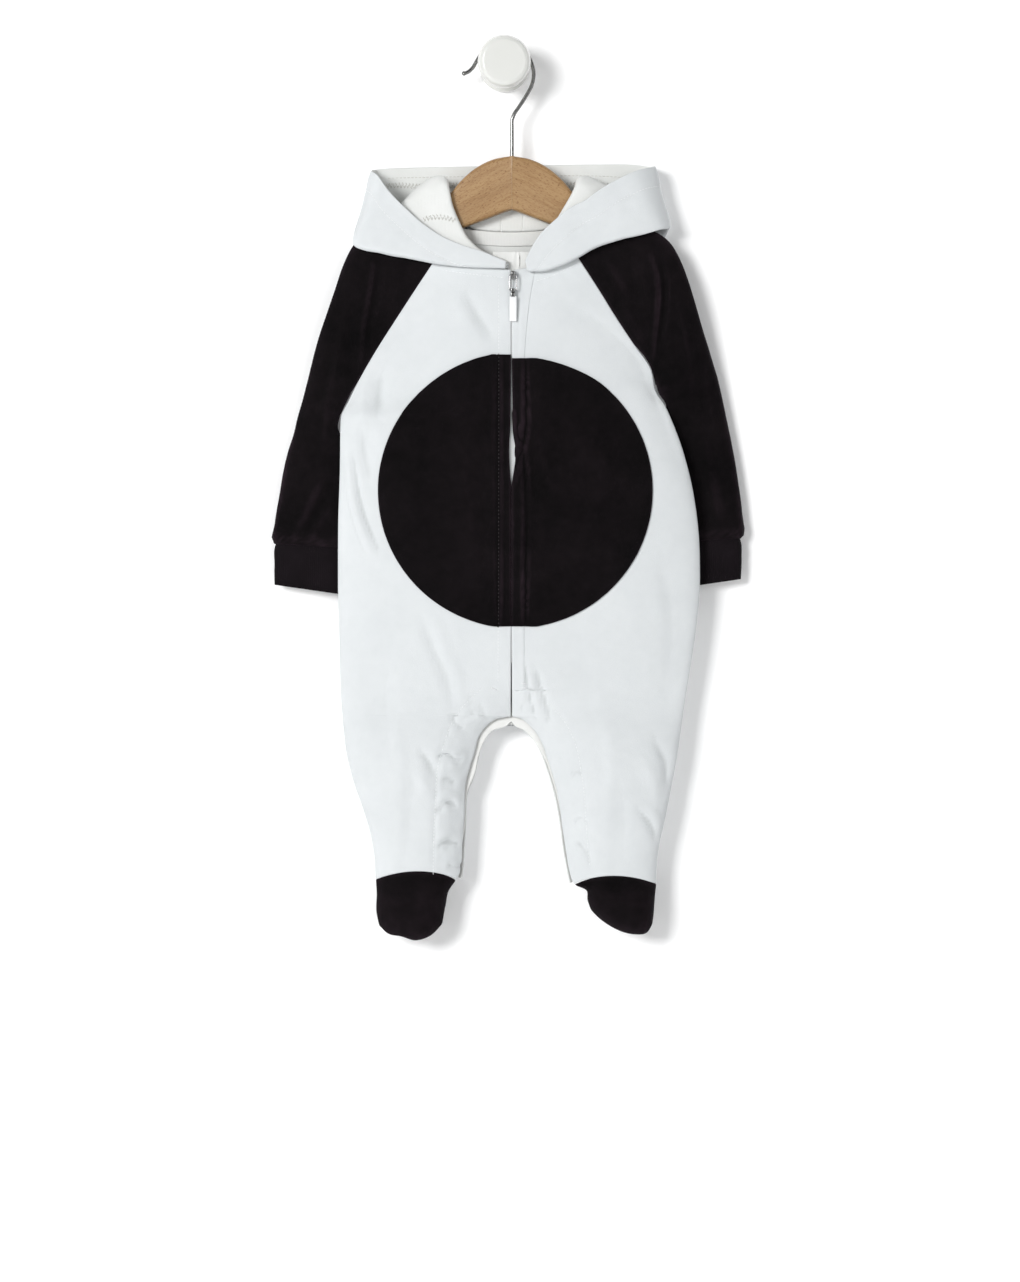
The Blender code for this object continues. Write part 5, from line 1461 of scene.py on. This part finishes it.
def build_stitches():
    lines = [on_front(side, sampled(marks[side]))
             for marks in (NECK_STITCHES, LEG_STITCHES) for side in (-1, 1)]
    zip_line = sampled(ZIP_STITCHES)
    away = np.abs(zip_line[:, 1] - BELLY_Z)
    lines += [on_front(-1, zip_line[(away > BELLY_R + 1) & part])
              for part in (zip_line[:, 1] > BELLY_Z, zip_line[:, 1] < BELLY_Z)]
    stitched("topstitching", lines, THREAD, thick=0.42)
    stitched("patch_stitching", [on_front(-1, zip_line[away < BELLY_R - 1], ON_FRONT + PATCH)], BLACK_THREAD,
             length=1.3, pitch=2.9, thick=0.5)
    stitched("bar_tacks", [on_front(side, sampled(marks, 1.0)) for side, marks in TACKS], THREAD,
             length=0.9, pitch=0.75, thick=1.1, lift=0.2)
    stitched("hood_hem", [hem_line(name) for name in HOOD], THREAD, thick=0.42)
    stitched("hood_inner_hem", [struck(sampled(INNER_HEM), -12)], CREAM_THREAD,
             length=2.2, pitch=3.0, thick=0.55)
    zigzag = []
    for marks, start in OVERLOCK:
        upper, lower = (struck(sampled([(u, v + down) for u, v in marks], 1.3), start) for down in (0, 4.6))
        zigzag.append([spot for pair in zip(upper[::2], lower[1::2]) for spot in pair])
    stitched("hood_overlock", zigzag, CREAM_THREAD, length=2.4, pitch=2.6, thick=0.75, lift=0.15)


def build_teeth():
    """Moulded teeth on both tapes, seen where the slit gapes."""
    mesh = bmesh.new()
    for number, z in enumerate(np.arange(-168.0, -465.0, -1.6)):
        side = 1 if number % 2 else -1
        spot = body_point(side, x_share(side, ZIP_X + side * 0.5, z), z)
        centre = Vector((ZIP_X + side * 0.15, spot[1] + HALF + SEAM - 0.35, z))
        bmesh.ops.create_cube(mesh, size=1.0, matrix=Matrix.Translation(centre * MM)
                              @ Matrix.Diagonal((1.9 * MM, 0.7 * MM, 1.0 * MM, 1.0)))
    put("zip_teeth", settle("zip_teeth", mesh), [TEETH])


# ---------------------------------------------------------------- hanger, hook and peg
def finish(name, mesh, look, slot, node, body="suit", angle=40):
    """A hard piece: smooth, but for the edges sharper than the angle."""
    bmesh.ops.recalc_face_normals(mesh, faces=mesh.faces[:])
    for face in mesh.faces:
        face.smooth = True
    for edge in mesh.edges:
        if len(edge.link_faces) == 2 and edge.calc_face_angle(0) > math.radians(angle):
            edge.smooth = False
    return put(name, settle(name, mesh), [look], body, slot, [node])


HANGER_EDGE = 3.0      # radius of the arms' rounded edges
QUARTER = range(0, 91, 15)      # degrees round a rounded corner


def build_hanger():
    """Two beech arms with rounded edges, mitred in the middle."""
    tip = along(ARM_TOP[-1:] + ARM_TIP + ARM_UNDER[:1], 22)[1:-1]
    outline = np.concatenate([along(ARM_TOP, 44), tip, along(ARM_UNDER, 16)])
    outline[:, 0] = np.maximum(outline[:, 0], 0.04)
    closed = np.concatenate([outline[-1:], outline, outline[:1]])
    inward = np.stack([-(closed[2:, 1] - closed[:-2, 1]), closed[2:, 0] - closed[:-2, 0]], axis=1)
    inward /= np.linalg.norm(inward, axis=1)[:, None]
    centre = outline.mean(axis=0)
    if np.sum((centre - outline[30]) * inward[30]) < 0:
        inward = -inward
    inward[outline[:, 0] < 0.05] = 0
    for side, word in SIDES:
        mesh = bmesh.new()
        rings = []
        for turn, face in [(90 - turn, -1) for turn in QUARTER] + [(turn, 1) for turn in QUARTER]:
            turn = math.radians(turn)
            depth = HANGER_Y + face * (HANGER_THICK / 2 - HANGER_EDGE + HANGER_EDGE * math.sin(turn))
            spots = outline + inward * (HANGER_EDGE * (1 - math.cos(turn)))
            rings.append([mesh.verts.new(Vector((HANGER_X + side * x, depth, z)) * MM) for x, z in spots])
        skin(mesh, rings, turned=False)
        finish("hanger_" + word + "_wood", mesh, BEECH_LOOK[side], "beech", "hanger_" + word, angle=50)


def steady(mesh):
    """The same mesh with its faces in a set order: Blender's ball has another one in every run."""
    mesh.verts.index_update()
    rounds = []
    for face in mesh.faces:
        marks = [vert.index for vert in face.verts]
        first = marks.index(min(marks))
        rounds.append(marks[first:] + marks[:first])
    made = bmesh.new()
    verts = [made.verts.new(vert.co) for vert in mesh.verts]
    for marks in sorted(rounds):
        made.faces.new([verts[mark] for mark in marks])
    mesh.free()
    return made


def wire(name, points, thickness, look, slot, node, body="suit", closed=False, ball=0.0, sides=16):
    """Round wire along the points, as a mesh, with flat ends. ball rounds its first end."""
    points = np.asarray(points, float)
    mesh = bmesh.new()
    rings = []
    count = len(points)
    for i in range(count):
        last, after = (i - 1, (i + 1) % count) if closed else (max(i - 1, 0), min(i + 1, count - 1))
        run = points[after] - points[last]
        run = run / np.linalg.norm(run)
        aside = np.cross(run, (0, 1, 0))
        aside = aside / np.linalg.norm(aside)
        up = np.cross(aside, run)
        turns = [2 * math.pi * k / sides for k in range(sides)]
        rings.append([mesh.verts.new(Vector(points[i] + (aside * math.cos(turn) + up * math.sin(turn))
                                            * thickness / 2) * MM) for turn in turns])
    skin(mesh, rings, closed)
    if ball:
        bmesh.ops.create_uvsphere(mesh, u_segments=24, v_segments=14, radius=ball * MM,
                                  matrix=Matrix.Translation(Vector(points[0]) * MM))
        mesh = steady(mesh)
    return finish(name, mesh, look, slot, node, body, angle=60)


def build_hook():
    points = [(x, HANGER_Y, z) for x, z in along(HOOK, 170)]
    wire("hook_wire", points, WIRE, WIRE_METAL, "plated_wire", "hook", ball=WIRE * 0.62)


PEG_SIDES = 96


def build_peg():
    """Turned wall peg with softly rounded edges."""
    mesh = bmesh.new()
    profile = [PEG_PROFILE[0]] + [(r, min(y, 0.0)) for r, y in along(PEG_PROFILE, 90)[1:]]
    wide, face = profile[-1]
    profile += [(wide * math.cos(t), face - 0.35 * math.sin(t)) for t in np.linspace(0, math.pi / 2, 9)[1:-1]]
    turns = np.arange(PEG_SIDES) * 2 * math.pi / PEG_SIDES
    skin(mesh, [[mesh.verts.new(Vector((radius * math.cos(a), y, radius * math.sin(a))) * MM) for a in turns]
                for radius, y in profile])
    finish("wall_peg", mesh, LACQUER, "white_lacquer", "peg")


# ---------------------------------------------------------------- zip slider and pull
PULL_X = 6.8
PIVOT_Y = -36.8
PIVOT_Z = -164.6
TAB_Z = -177.0
LINK_WIRE = 1.0
LINK_HALF = 2.6        # half the link's width
LINK_TURN = 1.3        # radius of its corners
SLIDER_HALF, EYE_HALF, TAB_HALF = 1.2, 1.35, 2.7      # half widths
TAB_THICK = 1.5


def bent_plate(name, pairs, half_width, look, slot, node, body, corner):
    """A bent plate: pairs of (depth, height) points on its two faces, drawn out along X."""
    mesh = bmesh.new()
    rows = []
    for pair in pairs:
        a, b, c, d = [mesh.verts.new(Vector((x, *point)) * MM)
                      for x in (PULL_X - half_width, PULL_X + half_width) for point in pair]
        rows.append([a, b, d, c])
    skin(mesh, rows, turned=False)
    bmesh.ops.recalc_face_normals(mesh, faces=mesh.faces[:])
    sharp = [e for e in mesh.edges if e.calc_face_angle(0) > math.radians(35)]
    bmesh.ops.bevel(mesh, geom=sharp, offset=corner * MM, segments=3, affect="EDGES", profile=0.5,
                    clamp_overlap=True)
    return finish(name, mesh, look, slot, node, body, angle=50)


def build_pull():
    face = PIVOT_Y + 1.0
    crown = PIVOT_Y - 0.8
    bent_plate("slider_body", [((face, -168.4), (-33.0, -168.4)), ((face, -163.2), (-33.0, -161.2)),
                               ((crown, -163.2), (crown - 0.7, -162.2)),
                               ((crown, -165.8), (crown - 0.7, -165.8))],
               SLIDER_HALF, METAL, "zip_metal", "zip_slider", "suit", 0.2)
    corners = []
    for aside, z, first in ((1, PIVOT_Z, 90), (1, TAB_Z, 0), (-1, TAB_Z, -90), (-1, PIVOT_Z, 180)):
        cx = PULL_X + aside * LINK_HALF - aside * LINK_TURN
        cz = z + (LINK_TURN if z == TAB_Z else -LINK_TURN)
        for turn in (math.radians(first - turned) for turned in QUARTER):
            corners.append((cx + LINK_TURN * math.cos(turn), PIVOT_Y, cz + LINK_TURN * math.sin(turn)))
    wire("link_wire", corners, LINK_WIRE, METAL, "zip_metal", "pull_link", "link", closed=True, sides=12)
    front, rear = PIVOT_Y - TAB_THICK / 2, PIVOT_Y + TAB_THICK / 2
    eye, wall = 0.85, 1.5
    bent_plate("tab_eye", [((front, -182.0), (rear, -182.0)), ((front, -178.6), (rear, -178.9)),
                           ((PIVOT_Y + eye, -178.0), (PIVOT_Y + wall, -178.8)),
                           ((PIVOT_Y + eye, -176.1), (PIVOT_Y + wall, -175.4)),
                           ((PIVOT_Y - eye, -176.1), (PIVOT_Y - wall, -175.4)),
                           ((PIVOT_Y - eye, -177.7), (PIVOT_Y - wall, -177.9))],
               EYE_HALF, METAL, "zip_metal", "pull_tab", "tab", 0.25)
    bent_plate("tab_body", [((front, -200.9), (rear, -200.9)), ((front, -182.6), (rear, -182.6)),
                            ((front + 0.35, -181.4), (rear - 0.35, -181.4))],
               TAB_HALF, ENAMEL, "white_tab", "pull_tab", "tab", 0.4)


# ---------------------------------------------------------------- stage, camera and light
WALL_Y = 0.0015
FLOOR_Z = -1.05
WALL_TOP = 2.5
STAGE_HALF = 3         # half the width of wall and floor
STAGE_REAR, STAGE_NEAR = 2.0, -5
CARD_Y = -2.6
CARD_LOW, CARD_TOP = -1.0, 1.6


def sheet_of(name, corners, look):
    """One flat rectangle of the stage, in metres."""
    data = bpy.data.meshes.new(name)
    data.from_pydata(corners, [], [(0, 1, 2, 3)])
    data.materials.append(look)
    made = bpy.data.objects.new(name, data)
    bpy.context.scene.collection.objects.link(made)
    return made


def build_stage():
    """A wall that is clear from behind, a floor, and dark cards that only reflections show."""
    look, tree, shader = node_material("wall")
    feed(tree, shader, {"Base Color": (0.95,) * 3, "Roughness": 0.95, "Emission Color": (1, 1, 1),
                        "Emission Strength": 0.06})
    behind = add(tree, "NewGeometry", {}).outputs["Backfacing"]
    clear = add(tree, "BsdfTransparent", {}).outputs["BSDF"]
    both = add(tree, "MixShader", {"Fac": behind, 1: shader.outputs["BSDF"], 2: clear}).outputs["Shader"]
    feed(tree, tree.nodes["Material Output"], {"Surface": both})
    corners = zip((-STAGE_HALF, STAGE_HALF, STAGE_HALF, -STAGE_HALF),
                  (FLOOR_Z, FLOOR_Z, WALL_TOP, WALL_TOP))
    wall = sheet_of("wall", [(x, WALL_Y, z) for x, z in corners], look)
    wall.visible_shadow = False
    corners = zip((-STAGE_HALF, -STAGE_HALF, STAGE_HALF, STAGE_HALF),
                  (STAGE_REAR, STAGE_NEAR, STAGE_NEAR, STAGE_REAR))
    floor = sheet_of("floor", [(x, y, FLOOR_Z) for x, y in corners],
                     plain("floor", (0.80,) * 3, 0.8))
    look = plain("card", (0.015,) * 3, 0.9)
    for name, x, wide in (("card_right", 1.15, 0.45), ("card_left", -0.75, 0.175)):
        card = sheet_of(name, [(x - wide, CARD_Y, CARD_LOW), (x + wide, CARD_Y, CARD_LOW),
                               (x + wide, CARD_Y, CARD_TOP), (x - wide, CARD_Y, CARD_TOP)], look)
        card.visible_camera = card.visible_diffuse = card.visible_shadow = False
        card.visible_transmission = False


LIGHT_TARGET = Vector((0.0, -0.02, -0.36))
# name: place, size, power
LIGHTS = {"key": ((-2.7, -4.6, 0.75), (1.7, 1.6), 222.0),
          "fill": ((2.0, -4.2, 0.1), (2.4, 2.2), 36.0),
          "back": ((1.7, 1.9, 0.7), (1.4, 1.4), 20.0)}
CAMERA_PLACE = (0.0044, -3.5, -0.4481)
SENSOR = 36.0
FOCAL = 125.73


def area_light(name, place, size, power):
    lamp = bpy.data.lights.new(name, "AREA")
    lamp.shape = "RECTANGLE"
    lamp.size, lamp.size_y = size
    lamp.energy = power
    made = bpy.data.objects.new(name, lamp)
    made.location = place
    made.rotation_euler = (LIGHT_TARGET - Vector(place)).to_track_quat("-Z", "Y").to_euler()
    bpy.context.scene.collection.objects.link(made)


def build_light():
    for name, (place, size, power) in LIGHTS.items():
        area_light(name, place, size, power)
    world = bpy.data.worlds.new("room")
    world.use_nodes = True
    feed(world.node_tree, world.node_tree.nodes["Background"], {"Color": (0.96, 0.98, 1.0), "Strength": 0.19})
    bpy.context.scene.world = world
    bpy.context.scene.view_settings.view_transform = "Standard"


def build_camera():
    lens = bpy.data.cameras.new("camera")
    lens.sensor_fit = "VERTICAL"
    lens.sensor_height = SENSOR
    lens.lens = FOCAL
    camera = bpy.data.objects.new("camera", lens)
    camera.location = CAMERA_PLACE
    camera.rotation_euler = (math.pi / 2, 0, 0)
    bpy.context.scene.collection.objects.link(camera)
    bpy.context.scene.camera = camera


# ---------------------------------------------------------------- build all
build_fronts()
build_back()
build_zip()
build_belly()
build_leg_band()
build_neck_tape()
build_sleeves()
build_cuffs()
build_feet()
build_hood()
build_stitches()
build_teeth()
build_hanger()
build_hook()
build_peg()
build_pull()
build_stage()
build_light()
build_camera()
